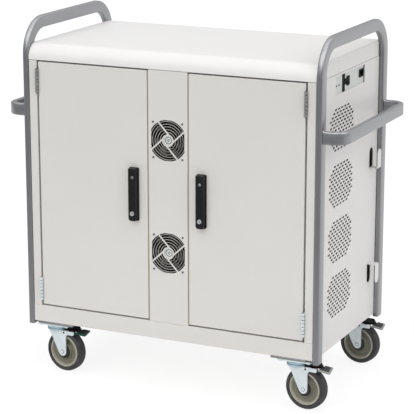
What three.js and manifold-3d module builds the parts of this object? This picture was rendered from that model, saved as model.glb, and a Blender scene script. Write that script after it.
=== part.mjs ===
// Laptop charging cart: a sheet-steel cabinet on swivel casters between two tube end frames.
// Millimetres, +Z up, front towards -Y, origin on the floor under the middle of the cart.
import * as THREE from "three";
import { mergeVertices } from "three/addons/utils/BufferGeometryUtils.js";
import Module from "manifold-3d";

const wasm = await Module();
wasm.setup();

// Cabinet
const innerWidth = 890;
const bodyDepth = 520;
const setBack = 8;
const bodyHeight = 787;
const sheet = 1.5;
const fitGap = 0.3;
const railHeight = 51;
const lipDepth = 18;
const flangeWidth = 24;
const panelStandOut = 4;
const stileWidth = 26;
const jambDepth = 22;
const powerBayDepth = 140;

// Worktop lid
const lidHeight = 46;
const lidSheet = 2;
const lidFrontRadius = 38;
const lidBackRadius = 22;

// End frames and push handles
const barThickness = 21;
const barWidth = 32;
const archRise = 72;
const archRadius = 85;
const postDrop = 10;
const footRailWidth = 107;
const footRailThickness = 6;
const footRailInset = 20;
const handleRise = 635;
const handleReach = 64;
const handleRadius = 34;

// Side grilles: rows of slots, joined along each row
const grilleRows = [5, 6, 7, 8, 7, 8, 7, 8, 7, 8, 7, 6, 5];
const grilleSlotPitch = 24;
const grilleSlotLength = 16;
const grilleRowPitch = 9.5;
const grilleSlotHeight = 5.6;
const grilleSetback = 189;
const grilleTopDrop = 156;
const grilleSpacing = 161;
const grilleCount = 4;

// Power panel in the right side
const powerPanelLength = 232;
const powerPanelHeight = 52;
const powerPanelSetback = 251;
const powerPanelDrop = 32;
const powerPanelRecess = 8;
const powerPanelFlange = 8;
const inletOffset = 95;
const inletLength = 34;
const inletHeight = 25;
const inletDepth = 26;
const inletWall = 4;
const inletSocketDepth = 17;
const switchOffset = -13;
const switchLength = 20;
const switchHeight = 28;
const switchDepth = 20;
const switchWall = 2;
const bezelThickness = 2;
const rockerTilt = 6;
const outletSlotOffset = -48;
const outletSlotLength = 13;
const outletSlotHeight = 46;

// Cord hooks folded out of the right side
const hookWidth = 29;
const hookHeight = 59;
const hookReach = 27;
const hookSetback = 436;
const hookTopRise = 524;
const hookLowRise = 113;

// Centre column and fans
const columnWidth = 123;
const fanDepth = 25;
const fanBore = 56;
const fanTopDrop = 199;
const fanSpacing = 328;
const guardRings = 3;
const guardInnerRadius = 19;
const guardOuterRadius = 54;
const guardWireWidth = 3.5;
const guardTurn = 25;
const guardSpokeWidth = 5;
const airSlotMargin = 40;
const airSlotPitch = 24;
const airSlotHeight = 10;
const fanHubRadius = 20;
const fanBladeCount = 7;
const fanBladeTip = 53;
const fanBladeChord = 20;
const fanBladeThickness = 1.8;
const fanBladePitch = 35;
const fanShaftRadius = 2.5;
const fanStrutWidth = 6;
const fanBossHeight = 4;

// Doors, hinges and latches
const doorGap = 2.6;
const doorDepth = 18;
const hingeLeafGap = 3.8;
const hingeLength = 72;
const hingeKnuckles = 5;
const hingeBarrelRadius = 4.6;
const hingePinRadius = 1.8;
const hingePinPlay = 0.35;
const hingeLeafThickness = 1.2;
const hingeLeafWidth = 20;
const hingeTopDrop = 21;
const hingeBottomRise = 14;
const latchInset = 42;
const latchWidth = 30;
const latchLength = 156;
const latchTopDrop = 285;
const latchBaseThickness = 5;
const leverWidth = 24;
const leverThickness = 12;
const leverMargin = 4;
const pivotDrop = 27;
const spindleRadius = 6;
const camReach = 55;
const camWidth = 18;
const camThickness = 3;
const camSetback = 2;
const keyRise = 23;
const keyRadius = 6.5;
const keyProud = 3;
const keyDepth = 9;

// Rear door
const rearDoorGap = 6.5;
const rearPinInset = 10;
const rearPinRadius = 4;
const rearPinLength = 4;
const rearKeyInset = 30;
const rearKeyRadius = 8;
const rearKeyFlange = 11;
const rearKeyProud = 4;
const rearKeyDepth = 12;

// Laptop racks and outlet strips
const rackSlots = 5;
const rackFinThickness = 2;
const rackFinHeight = 190;
const rackFrontGap = 2.2;
const rackCableDrop = 22;
const rackFinMargin = 14;
const upperRackRise = 396;
const rackLip = 20;
const cableSlotWidth = 60;
const cableSlotRise = 95;
const cableSlotDrop = 62;
const stripLength = 340;
const stripHeight = 37;
const stripDepth = 40;
const stripTopDrop = 12;

// Casters
const casterSideInset = 58;
const casterEndInset = 42;
const casterRestTurn = -8;
const wheelRadius = 62.5;
const wheelWidth = 32;
const wheelHubWidth = 36;
const wheelTrail = 28;
const axleRadius = 5;
const axleHeadRadius = 8;
const axleHeadHeight = 3;
const forkGap = 19;
const forkPlate = 4;
const forkDeck = 6;
const forkHeadroom = 7;
const forkArmReach = 70;
const forkArmDepth = 16;
const forkBackReach = 26;
const forkBossRadius = 13;
const forkStep = 7;
const swivelRadius = 31;
const swivelRaceHeight = 6.1;
const kingPinRadius = 6;
const kingPinHead = 10;
const plateLength = 104;
const plateWidth = 80;
const plateThickness = 4;
const pedalPivotReach = 56;
const pedalPivotDrop = 8;
const pedalPinRadius = 3;

// Places that follow from the sizes above
const forkTop = 2 * wheelRadius + forkHeadroom + forkDeck;
const plateTop = forkTop + fitGap + swivelRaceHeight + plateThickness;
const railBottom = plateTop + fitGap;
const bottomZ = railBottom + footRailThickness + fitGap;
const halfWidth = innerWidth / 2;
const frontY = setBack - bodyDepth / 2;
const backY = setBack + bodyDepth / 2;
const railTop = bottomZ + railHeight;
const seamZ = bottomZ + bodyHeight;
const topZ = seamZ + lidHeight;
const trayFloor = bottomZ + sheet;
const panelX = halfWidth + panelStandOut;
const panelInner = panelX - sheet;
const postRear = frontY + barWidth + fitGap;
const postFront = backY - barWidth - fitGap;
const frameX = halfWidth + barThickness / 2;
const postOuter = halfWidth + barThickness;
const archTop = topZ + archRise - barWidth / 2;
const columnHalf = columnWidth / 2 - fitGap;
const bayWallY = backY - powerBayDepth;
const doorInner = columnHalf + doorGap;
const jambX = halfWidth - fitGap - stileWidth;
const doorOuter = jambX - hingeLeafGap;
const doorBottom = railTop + doorGap;
const doorTop = seamZ - doorGap;
const hingeX = (jambX + doorOuter) / 2;
const hingeY = frontY - hingeBarrelRadius - 2 * fitGap;
const latchX = doorInner + latchInset;
const latchTop = seamZ - latchTopDrop;
const latchBottom = latchTop - latchLength;
const pivotZ = latchTop - pivotDrop;
const camFront = frontY + doorDepth + camSetback;
const powerPanelY = frontY + powerPanelSetback;
const powerPanelZ = seamZ - powerPanelDrop;
const hookTop = bottomZ + hookTopRise;
const hookLow = bottomZ + hookLowRise;
const pedalPivotZ = forkTop - pedalPivotDrop;

const white = () => new THREE.MeshStandardMaterial({ color: 0xd6d5d0, roughness: 0.45, metalness: 0.0 });
const lidWhite = () => new THREE.MeshStandardMaterial({ color: 0xefefec, roughness: 0.4, metalness: 0.0 });
const silver = () => new THREE.MeshStandardMaterial({ color: 0x9a9ca0, roughness: 0.35, metalness: 0.6 });
const zinc = () => new THREE.MeshStandardMaterial({ color: 0xcfdcdf, roughness: 0.35, metalness: 0.9 });
const steel = () => new THREE.MeshStandardMaterial({ color: 0xb9bcc0, roughness: 0.3, metalness: 1.0 });
const black = () => new THREE.MeshStandardMaterial({ color: 0x28282a, roughness: 0.5, metalness: 0.0 });
const palePlastic = () => new THREE.MeshStandardMaterial({ color: 0xcdd0cc, roughness: 0.5, metalness: 0.0 });
const wheelGrey = () => new THREE.MeshStandardMaterial({ color: 0x57544e, roughness: 0.6, metalness: 0.0 });
const green = () => new THREE.MeshStandardMaterial({ color: 0x0f5a3c, roughness: 0.5, metalness: 0.0 });

const cart = new THREE.Group();

// A closed geometry as a solid for joins and cuts.
function solid(geometry) {
  const bare = geometry.clone();
  bare.deleteAttribute("normal");
  bare.deleteAttribute("uv");
  const merged = mergeVertices(bare, 1e-4);
  const vertProperties = merged.getAttribute("position").array;
  const triVerts = new Uint32Array(merged.index.array);
  return new wasm.Manifold(new wasm.Mesh({ numProp: 3, vertProperties, triVerts }));
}

// A solid back as a mesh of the cart, flat shaded.
function add(name, shape, material, parent = cart) {
  const made = shape.getMesh();
  const indexed = new THREE.BufferGeometry();
  indexed.setAttribute("position", new THREE.BufferAttribute(made.vertProperties, 3));
  indexed.setIndex(new THREE.BufferAttribute(made.triVerts, 1));
  const geometry = indexed.toNonIndexed();
  geometry.computeVertexNormals();
  const mesh = new THREE.Mesh(geometry, material);
  mesh.name = name;
  parent.add(mesh);
}

const join = (...solids) => solids.reduce((whole, next) => whole.add(next));
const cut = (whole, ...tools) => tools.reduce((rest, tool) => rest.subtract(tool), whole);

// A block between two corners, given in any order along each axis.
function block([x0, x1], [y0, y1], [z0, z1]) {
  const geometry = new THREE.BoxGeometry(Math.abs(x1 - x0), Math.abs(y1 - y0), Math.abs(z1 - z0));
  geometry.translate((x0 + x1) / 2, (y0 + y1) / 2, (z0 + z1) / 2);
  return solid(geometry);
}

// A range that grows both ways from its middle.
const around = (middle, half) => [middle - half, middle + half];

const outline = (points) => new THREE.Shape(points.map(([u, v]) => new THREE.Vector2(u, v)));
const rectangle = ([u0, u1], [v0, v1]) => [[u0, v0], [u1, v0], [u1, v1], [u0, v1]];

// A flat outline drawn in two named axes and given thickness along the third.
const drawnIn = {
  yz: [new THREE.Vector3(0, 1, 0), new THREE.Vector3(0, 0, 1), new THREE.Vector3(1, 0, 0)],
  xz: [new THREE.Vector3(1, 0, 0), new THREE.Vector3(0, 0, 1), new THREE.Vector3(0, -1, 0)],
  xy: [new THREE.Vector3(1, 0, 0), new THREE.Vector3(0, 1, 0), new THREE.Vector3(0, 0, 1)],
};

function slab(shape, axes, [from, to], curveSegments = 4) {
  const [right, up, through] = drawnIn[axes];
  const low = Math.min(from, to);
  const high = Math.max(from, to);
  const depth = high - low;
  const geometry = new THREE.ExtrudeGeometry(shape, { depth, bevelEnabled: false, curveSegments });
  geometry.applyMatrix4(new THREE.Matrix4().makeBasis(right, up, through));
  const start = through.y < 0 ? -high : low;
  geometry.translate(...through.clone().multiplyScalar(start).toArray());
  return solid(geometry);
}

// A round bar between two places on an axis through a point.
function round(axis, [u, v], [from, to], radius, sides = 12) {
  const geometry = new THREE.CylinderGeometry(radius, radius, Math.abs(to - from), sides);
  const middle = (from + to) / 2;
  if (axis === "x") geometry.rotateZ(Math.PI / 2).translate(middle, u, v);
  if (axis === "y") geometry.translate(u, middle, v);
  if (axis === "z") geometry.rotateX(Math.PI / 2).translate(u, v, middle);
  return solid(geometry);
}

// A path of straight runs joined by round bends, with stations only where the bar changes direction.
class BentPath extends THREE.Curve {
  constructor(corners, radius, bendSteps) {
    super();
    const along = (from, to) => to.clone().sub(from).normalize();
    const last = corners.length - 1;
    this.stations = [{ point: corners[0], tangent: along(corners[0], corners[1]) }];
    for (let i = 1; i < last; i += 1) {
      const into = along(corners[i - 1], corners[i]);
      const out = along(corners[i], corners[i + 1]);
      const centre = corners[i].clone().addScaledVector(into, -radius).addScaledVector(out, radius);
      for (let step = 0; step <= bendSteps; step += 1) {
        const turn = (step / bendSteps) * (Math.PI / 2);
        const point = centre.clone().addScaledVector(out, -radius * Math.cos(turn));
        point.addScaledVector(into, radius * Math.sin(turn));
        const tangent = into.clone().multiplyScalar(Math.cos(turn)).addScaledVector(out, Math.sin(turn));
        this.stations.push({ point, tangent });
      }
    }
    this.stations.push({ point: corners[last], tangent: along(corners[last - 1], corners[last]) });
  }
  station(u) {
    return this.stations[Math.round(u * (this.stations.length - 1))];
  }
  getPointAt(u) {
    return this.station(u).point.clone();
  }
  getTangentAt(u) {
    return this.station(u).tangent.clone();
  }
}

// The flat-oval tube of the frames, bent along a path.
function ovalBar(corners, radius, [wide, thick]) {
  const section = new THREE.Shape();
  const end = Math.min(wide, thick) / 2;
  if (wide > thick) {
    section.absarc(wide / 2 - end, 0, end, -Math.PI / 2, Math.PI / 2);
    section.absarc(end - wide / 2, 0, end, Math.PI / 2, 1.5 * Math.PI);
  }
  const path = new BentPath(corners.map((corner) => new THREE.Vector3(...corner)), radius, 6);
  const steps = path.stations.length - 1;
  return solid(new THREE.ExtrudeGeometry(section, { steps, extrudePath: path, curveSegments: 2 }));
}

// Base tray: one sheet folded up into a rail at the front and the back, on the foot rails.
function baseTray() {
  const profile = outline([
    [frontY, bottomZ],
    [backY, bottomZ],
    [backY, railTop],
    [backY - lipDepth, railTop],
    [backY - lipDepth, railTop - sheet],
    [backY - sheet, railTop - sheet],
    [backY - sheet, trayFloor],
    [frontY + sheet, trayFloor],
    [frontY + sheet, railTop - sheet],
    [frontY + lipDepth, railTop - sheet],
    [frontY + lipDepth, railTop],
    [frontY, railTop],
  ]);
  const reach = panelInner - fitGap;
  const whole = slab(profile, "yz", [-reach, reach]);
  const corners = [];
  for (const side of [-1, 1]) {
    const ends = [side * (halfWidth - fitGap), side * (reach + 1)];
    corners.push(block(ends, [frontY - 1, postRear], [bottomZ - 1, railTop + 1]));
    corners.push(block(ends, [postFront, backY + 1], [bottomZ - 1, railTop + 1]));
  }
  const pinHole = round("z", rearPivot(), [railTop - lipDepth, railTop + 1], rearPinRadius + fitGap, 16);
  add("base_tray", cut(whole, ...corners, pinHole), white());
}

const rearPivot = () => [-(halfWidth - rearDoorGap - rearPinInset), backY - doorDepth / 2];

// The cuts for one grille, each row one slot as long as its run of slots.
function grilleCuts(throughX, middleY, middleZ) {
  return grilleRows.map((count, row) => {
    const half = ((count - 1) * grilleSlotPitch + grilleSlotLength) / 2;
    const z = middleZ + ((grilleRows.length - 1) / 2 - row) * grilleRowPitch;
    return block(throughX, around(middleY, half), around(z, grilleSlotHeight / 2));
  });
}

// A cord hook: a tab folded out of the panel, turned away from its fellow.
function cordHook(edgeZ, way) {
  const y = around(frontY + hookSetback, hookWidth / 2);
  const shelf = block([panelInner, panelX + hookReach], y, [edgeZ, edgeZ + way * sheet]);
  const blade = block([panelX + hookReach - sheet, panelX + hookReach], y, [edgeZ, edgeZ + way * hookHeight]);
  return join(shelf, blade);
}

// Side panel: a pan whose front edge steps in behind the post and turns into the door stile.
function sidePanel(side) {
  const x = (a, b) => [side * a, side * b];
  const faceY = [postRear, postFront];
  const upTo = seamZ - fitGap;
  const throughX = x(panelInner - 1, panelX + 1);
  const cuts = [];
  for (let i = 0; i < grilleCount; i += 1) {
    cuts.push(...grilleCuts(throughX, frontY + grilleSetback, seamZ - grilleTopDrop - i * grilleSpacing));
  }
  if (side > 0) {
    const hookY = around(frontY + hookSetback, hookWidth / 2);
    const panelY = around(powerPanelY, powerPanelLength / 2);
    cuts.push(block(throughX, panelY, around(powerPanelZ, powerPanelHeight / 2)));
    cuts.push(block(throughX, hookY, [hookTop - hookHeight, hookTop]));
    cuts.push(block(throughX, hookY, [hookLow, hookLow + hookHeight]));
  }
  const stepX = halfWidth - fitGap - sheet;
  const above = [railTop + fitGap, upTo];
  const pieces = [
    cut(block(x(panelInner, panelX), faceY, [bottomZ, upTo]), ...cuts),
    block(x(stepX, panelX), [postRear, postRear + sheet], above),
    block(x(stepX, stepX + sheet), [frontY, postRear + sheet], above),
    block(x(jambX, stepX + sheet), [frontY, frontY + sheet], above),
    block(x(jambX, jambX + sheet), [frontY, frontY + jambDepth], above),
    block(x(stepX, panelX), [postFront - sheet, postFront], above),
    block(x(stepX, stepX + sheet), [postFront - sheet, backY], above),
    block(x(panelX - flangeWidth, panelX), faceY, [upTo - sheet, upTo]),
  ];
  if (side > 0) {
    pieces.push(cordHook(hookTop - hookHeight - sheet, 1));
    pieces.push(cordHook(hookLow + hookHeight + sheet, -1));
  }
  add(side < 0 ? "left_side_panel" : "right_side_panel", join(...pieces), white());
}

// A slot that follows a ring between two spokes of the fan guard.
function ringSlot(inner, outer, from, to, [u, v]) {
  const steps = 3;
  const points = [];
  for (let i = 0; i <= steps; i += 1) {
    const angle = from + ((to - from) * i) / steps;
    points.push([u + outer * Math.cos(angle), v + outer * Math.sin(angle)]);
  }
  for (let i = steps; i >= 0; i -= 1) {
    const angle = from + ((to - from) * i) / steps;
    points.push([u + inner * Math.cos(angle), v + inner * Math.sin(angle)]);
  }
  return slab(outline(points), "xz", [frontY - 1, frontY + sheet + 1]);
}

function guardSlots(centre) {
  const slots = [];
  const pitch = (guardOuterRadius - guardInnerRadius + guardWireWidth) / guardRings;
  for (let ring = 0; ring < guardRings; ring += 1) {
    const inner = guardInnerRadius + ring * pitch;
    const outer = inner + pitch - guardWireWidth;
    const spoke = guardSpokeWidth / (inner + outer);
    for (let quarter = 0; quarter < 4; quarter += 1) {
      const start = THREE.MathUtils.degToRad(guardTurn + quarter * 90);
      slots.push(ringSlot(inner, outer, start + spoke, start + Math.PI / 2 - spoke, centre));
    }
  }
  return slots;
}

const fanHeights = [seamZ - fanTopDrop, seamZ - fanTopDrop - fanSpacing];

// Centre column: a folded channel with the fan guards stamped in its face, open to the power bay.
function centreColumn() {
  const upTo = seamZ - fitGap;
  const over = railTop + fitGap;
  const slots = fanHeights.flatMap((z) => guardSlots([0, z]));
  const face = cut(block([-columnHalf, columnHalf], [frontY, frontY + sheet], [over, upTo]), ...slots);
  const behindLip = frontY + lipDepth + fitGap;
  const wallEnd = bayWallY - fitGap;
  const wall = outline([
    [frontY, over],
    [behindLip, over],
    [behindLip, trayFloor + fitGap],
    [wallEnd, trayFloor + fitGap],
    [wallEnd, upTo],
    [frontY, upTo],
  ]);
  const strikeHalf = Math.sqrt(camReach ** 2 - (latchX - columnHalf) ** 2) + camWidth / 2;
  const strikeY = around(camFront + camThickness / 2, camThickness + 1);
  const airSlotY = [frontY + fanDepth + airSlotMargin, wallEnd - airSlotMargin];
  const walls = [-1, 1].map((side) => {
    const throughX = [side * (columnHalf - sheet - 1), side * (columnHalf + 1)];
    const cuts = [block(throughX, strikeY, around(pivotZ, strikeHalf))];
    for (const z of fanHeights) {
      for (const row of [-1, 0, 1]) {
        cuts.push(block(throughX, airSlotY, around(z + row * airSlotPitch, airSlotHeight / 2)));
      }
    }
    return cut(slab(wall, "yz", [side * (columnHalf - sheet), side * columnHalf]), ...cuts);
  });
  add("centre_column", join(face, ...walls), white());
}

// Power bay wall: closes the laptop bays at the back, with a slot for the charging leads in each bay.
function powerBayWall() {
  const reach = panelInner - fitGap;
  const wallY = [bayWallY, bayWallY + sheet];
  const slots = [-1, 1].map((side) => {
    const slotX = around((side * (columnHalf + panelInner)) / 2, cableSlotWidth / 2);
    const slotZ = [bottomZ + cableSlotRise, seamZ - cableSlotDrop];
    return block(slotX, [bayWallY - 1, bayWallY + sheet + 1], slotZ);
  });
  const face = block([-reach, reach], wallY, [trayFloor + fitGap, seamZ - 2 * (sheet + fitGap)]);
  add("power_bay_wall", cut(face, ...slots), white());
}

// The lid's end outline: square at the seam, rounded over at the front and the back.
function lidOutline(inset, lowZ) {
  const front = lidFrontRadius - inset;
  const back = lidBackRadius - inset;
  const shape = new THREE.Shape();
  shape.moveTo(frontY + inset, lowZ);
  shape.lineTo(backY - inset, lowZ);
  shape.lineTo(backY - inset, topZ - lidBackRadius);
  shape.absarc(backY - lidBackRadius, topZ - lidBackRadius, back, 0, Math.PI / 2);
  shape.lineTo(frontY + lidFrontRadius, topZ - inset);
  shape.absarc(frontY + lidFrontRadius, topZ - lidFrontRadius, front, Math.PI / 2, Math.PI);
  return shape;
}

// Worktop lid: a shell with turned-in lips, standing flush with the side panels between the posts.
function lid() {
  const reach = halfWidth - fitGap;
  const inside = reach - lidSheet;
  const shell = cut(
    slab(lidOutline(0, seamZ), "yz", [-reach, reach]),
    slab(lidOutline(lidSheet, seamZ + lidSheet), "yz", [-inside, inside]),
    block([-inside, inside], [frontY + lipDepth, backY - lipDepth], [seamZ - 1, seamZ + 2 * lidSheet]),
    round("z", rearPivot(), [seamZ - 1, seamZ + lidSheet + 1], rearPinRadius + fitGap, 16),
  );
  const bendInner = archRadius - barWidth / 2;
  const bendRise = THREE.MathUtils.clamp(topZ - (archTop - archRadius), 0, bendInner);
  const lean = bendInner - Math.sqrt(bendInner ** 2 - bendRise ** 2);
  const between = slab(lidOutline(0, seamZ), "yz", [-panelX, panelX]);
  const betweenPosts = [postRear + lean, postFront - lean];
  const ends = [-1, 1].map((side) =>
    between.intersect(block([side * inside, side * panelX], betweenPosts, [seamZ, topZ])),
  );
  add("lid", join(shell, ...ends), lidWhite());
}

// End frame: flat-oval tube bent over the worktop, welded to the foot rail that carries two casters.
function endFrame(side) {
  const low = bottomZ - postDrop;
  const high = archTop;
  const front = frontY + barWidth / 2;
  const back = backY - barWidth / 2;
  const x = side * frameX;
  const arch = ovalBar([[x, front, low], [x, front, high], [x, back, high], [x, back, low]], archRadius, [
    barWidth,
    barThickness,
  ]);
  const railZ = [railBottom, railBottom + footRailThickness];
  const railOuter = halfWidth - footRailInset;
  const rail = block([side * (railOuter - footRailWidth), side * railOuter], [frontY, backY], railZ);
  const tabX = [side * (railOuter - 1), side * (halfWidth + barThickness / 4)];
  const frontTab = block(tabX, [frontY + barThickness / 2, frontY + barWidth - barThickness / 2], railZ);
  const backTab = block(tabX, [backY - barWidth + barThickness / 2, backY - barThickness / 2], railZ);
  add(side < 0 ? "left_end_frame" : "right_end_frame", join(arch, rail, frontTab, backTab), silver());
}

// Push handle: the same tube laid flat, from the front post to the rear post.
function pushHandle(side) {
  const start = side * (postOuter + fitGap);
  const out = side * (postOuter + handleReach - barThickness / 2);
  const front = frontY + barWidth / 2;
  const back = backY - barWidth / 2;
  const z = bottomZ + handleRise;
  const bar = ovalBar([[start, front, z], [out, front, z], [out, back, z], [start, back, z]], handleRadius, [
    barWidth,
    barThickness,
  ]);
  add(side < 0 ? "left_push_handle" : "right_push_handle", bar, silver());
}

// Laptop rack: a tray with upright dividers; the upper one is also the bay's shelf.
function laptopRack(side, level) {
  const nearX = columnHalf + fitGap;
  const farX = panelInner - fitGap;
  const baseZ = trayFloor + fitGap + (level === "upper" ? upperRackRise : 0);
  const y = [postRear + sheet + rackFrontGap, bayWallY - rackCableDrop];
  const pieces = [block([side * nearX, side * farX], y, [baseZ, baseZ + sheet])];
  if (level === "upper") {
    const lipZ = [baseZ - rackLip, baseZ + sheet];
    pieces.push(block([side * nearX, side * farX], [y[0], y[0] + sheet], lipZ));
  }
  const pitch = (farX - nearX) / rackSlots;
  for (let i = 1; i < rackSlots; i += 1) {
    const finX = around(side * (nearX + i * pitch), rackFinThickness / 2);
    pieces.push(block(finX, [y[0] + rackFinMargin, y[1] - rackFinMargin], [baseZ, baseZ + rackFinHeight]));
  }
  add(`${side < 0 ? "left" : "right"}_${level}_rack`, join(...pieces), palePlastic());
}

// Outlet strip on the back of the power bay wall.
function outletStrip(side) {
  const x = around((side * (columnHalf + panelInner)) / 2, stripLength / 2);
  const y = [bayWallY + sheet + fitGap, bayWallY + sheet + fitGap + stripDepth];
  const top = seamZ - stripTopDrop;
  const corner = 6;
  const profile = outline([
    [y[0], top - stripHeight],
    [y[1] - corner, top - stripHeight],
    [y[1], top - stripHeight + corner],
    [y[1], top - corner],
    [y[1] - corner, top],
    [y[0], top],
  ]);
  add(side < 0 ? "left_outlet_strip" : "right_outlet_strip", slab(profile, "yz", x), black());
}

// Power panel: a shallow recessed pan behind the opening in the right side.
const panelFloor = panelX - powerPanelRecess;

function powerPanel() {
  const halfY = powerPanelLength / 2;
  const halfZ = powerPanelHeight / 2;
  const flange = powerPanelFlange;
  const back = panelFloor - sheet;
  const front = panelInner - fitGap;
  const pan = cut(
    join(
      block([back, front], around(powerPanelY, halfY + sheet), around(powerPanelZ, halfZ + sheet)),
      block([front - sheet, front], around(powerPanelY, halfY + flange), around(powerPanelZ, halfZ + sheet)),
    ),
    block([panelFloor, panelX], around(powerPanelY, halfY), around(powerPanelZ, halfZ)),
    block([back - 1, panelX], inletY(fitGap - inletWall), inletZ(fitGap - inletWall)),
    block([back - 1, panelX], switchY(fitGap - switchWall), switchZ(fitGap - switchWall)),
    block(
      [back - 1, panelX],
      around(powerPanelY + outletSlotOffset, outletSlotLength / 2),
      around(powerPanelZ, outletSlotHeight / 2),
    ),
  );
  add("power_panel", pan, palePlastic());
}

const inletY = (grow) => around(powerPanelY + inletOffset, inletLength / 2 + grow);
const inletZ = (grow) => around(powerPanelZ, inletHeight / 2 + grow);
const switchY = (grow) => around(powerPanelY + switchOffset, switchLength / 2 + grow);
const switchZ = (grow) => around(powerPanelZ, switchHeight / 2 + grow);

// Mains inlet: a bezel on the panel, a body through it and a socket in its face.
function mainsInlet() {
  const face = panelFloor + fitGap + bezelThickness;
  const body = join(
    block([panelFloor + fitGap, face], inletY(0), inletZ(0)),
    block([face - inletDepth, face], inletY(-inletWall), inletZ(-inletWall)),
  );
  const rim = 1.5 * inletWall - 1;
  const socket = block([face - inletSocketDepth, face + 1], inletY(-rim), inletZ(-rim));
  add("mains_inlet", cut(body, socket), black());
}

// Rocker switch in its housing; at rest the rocker is tilted to off.
const rockerPivotX = panelFloor + bezelThickness - 2;

function powerSwitch() {
  const face = panelFloor + fitGap + bezelThickness;
  const well = switchWall * 1.5;
  const housing = cut(
    join(
      block([panelFloor + fitGap, face], switchY(0), switchZ(0)),
      block([face - switchDepth, face], switchY(-switchWall), switchZ(-switchWall)),
    ),
    block([face - switchDepth / 2, face + 1], switchY(-well), switchZ(-well)),
  );
  add("switch_housing", housing, black());

  const halfHeight = switchHeight / 2 - well - 4 * fitGap;
  const profile = outline([
    [-4, -halfHeight],
    [4, -halfHeight],
    [2, 0],
    [4, halfHeight],
    [-4, halfHeight],
  ]);
  const thick = switchLength / 2 - well - fitGap;
  const rocker = slab(profile, "xz", [-thick, thick]);
  const tilted = new THREE.Group();
  tilted.position.set(rockerPivotX, powerPanelY + switchOffset, powerPanelZ);
  tilted.rotation.y = THREE.MathUtils.degToRad(-rockerTilt);
  cart.add(tilted);
  add("rocker_switch", rocker, black(), tilted);
}

// Cooling fan behind a guard: a square frame with a motor boss on struts, and the impeller on its shaft.
function coolingFan(name, z) {
  const half = columnHalf - sheet - fitGap;
  const front = frontY + sheet + fitGap;
  const back = front + fanDepth;
  const bossY = [back - fanBossHeight, back];
  const ring = cut(
    block([-half, half], [front, back], around(z, half)),
    round("y", [0, z], [front - 1, back + 1], fanBore, 20),
  );
  const struts = join(
    block([-half, half], bossY, around(z, fanStrutWidth / 2)),
    block(around(0, fanStrutWidth / 2), bossY, around(z, half)),
  );
  const boss = round("y", [0, z], bossY, fanHubRadius, 12);
  const shaft = round("y", [0, z], [front + fanDepth / 2, back - 1], fanShaftRadius, 8);
  add(`${name}_fan_frame`, join(ring, struts, boss, shaft), black());

  const hubY = [front + 3, back - fanBossHeight - 1.5];
  const bore = round("y", [0, z], [front + fanDepth / 2 - 1, back], fanShaftRadius + fitGap, 8);
  const hub = round("y", [0, z], hubY, fanHubRadius, 12);
  const blades = [];
  for (let i = 0; i < fanBladeCount; i += 1) {
    const length = fanBladeTip - fanHubRadius + 4;
    const blade = new THREE.BoxGeometry(length, fanBladeThickness, fanBladeChord);
    blade.rotateX(THREE.MathUtils.degToRad(fanBladePitch));
    blade.translate(fanBladeTip - length / 2, 0, 0);
    blade.rotateY((i / fanBladeCount) * 2 * Math.PI);
    blade.translate(0, (hubY[0] + hubY[1]) / 2, z);
    blades.push(solid(blade));
  }
  add(`${name}_fan_impeller`, cut(join(hub, ...blades), bore), black());
}

// The knuckles of one hinge, counted from the bottom, with a small gap between neighbours.
function knuckles(side, lowZ, which) {
  const height = hingeLength / hingeKnuckles;
  return which.map((i) => {
    const span = [lowZ + i * height + fitGap / 2, lowZ + (i + 1) * height - fitGap / 2];
    return { span, barrel: round("z", [side * hingeX, hingeY], span, hingeBarrelRadius, 10) };
  });
}

const hingeLows = { upper: doorTop - hingeTopDrop - hingeLength, lower: doorBottom + hingeBottomRise };
const frameKnuckles = [0, 2, 4];
const doorKnuckles = [1, 3];
const leafClear = frontY - fitGap;

// Frame leaf of a hinge, with its knuckles and the pin.
function hingeLeaf(side, level) {
  const low = hingeLows[level];
  const x = [side * (jambX - fitGap - hingeLeafThickness), side * (jambX - fitGap)];
  const pieces = [block(x, [leafClear, frontY + hingeLeafWidth], [low, low + hingeLength])];
  for (const { span, barrel } of knuckles(side, low, frameKnuckles)) {
    pieces.push(barrel, block(x, [hingeY, leafClear + 1], span));
  }
  pieces.push(round("z", [side * hingeX, hingeY], [low, low + hingeLength], hingePinRadius, 8));
  add(`${side < 0 ? "left" : "right"}_${level}_hinge`, join(...pieces), zinc());
}

// Front door: a folded pan with the door halves of its two hinges welded to its edge.
function frontDoor(side) {
  const x = (a, b) => [side * a, side * b];
  const z = [doorBottom, doorTop];
  const inner = [doorBottom + sheet, doorTop - sheet];
  const pan = cut(
    block(x(doorInner, doorOuter), [frontY, frontY + doorDepth], z),
    block(x(doorInner + sheet, doorOuter - sheet), [frontY + sheet, frontY + doorDepth + 1], inner),
    round("y", [side * latchX, pivotZ], [frontY - 1, frontY + sheet + 1], spindleRadius + 2 * fitGap, 16),
  );
  const pieces = [];
  for (const low of Object.values(hingeLows)) {
    const leafX = x(doorOuter - sheet / 2, doorOuter + hingeLeafThickness);
    const made = knuckles(side, low, doorKnuckles);
    pieces.push(block(leafX, [leafClear, frontY + doorDepth], [made[0].span[0], made[1].span[1]]));
    for (const { span, barrel } of made) {
      const pinHole = round(
        "z",
        [side * hingeX, hingeY],
        [span[0] - 1, span[1] + 1],
        hingePinRadius + hingePinPlay,
        8,
      );
      const tab = block(x(doorOuter, doorOuter + hingeLeafThickness), [hingeY, leafClear + 1], span);
      pieces.push(cut(join(barrel, tab), pinHole));
    }
  }
  add(side < 0 ? "left_door" : "right_door", join(pan, ...pieces), white());
}

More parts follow.
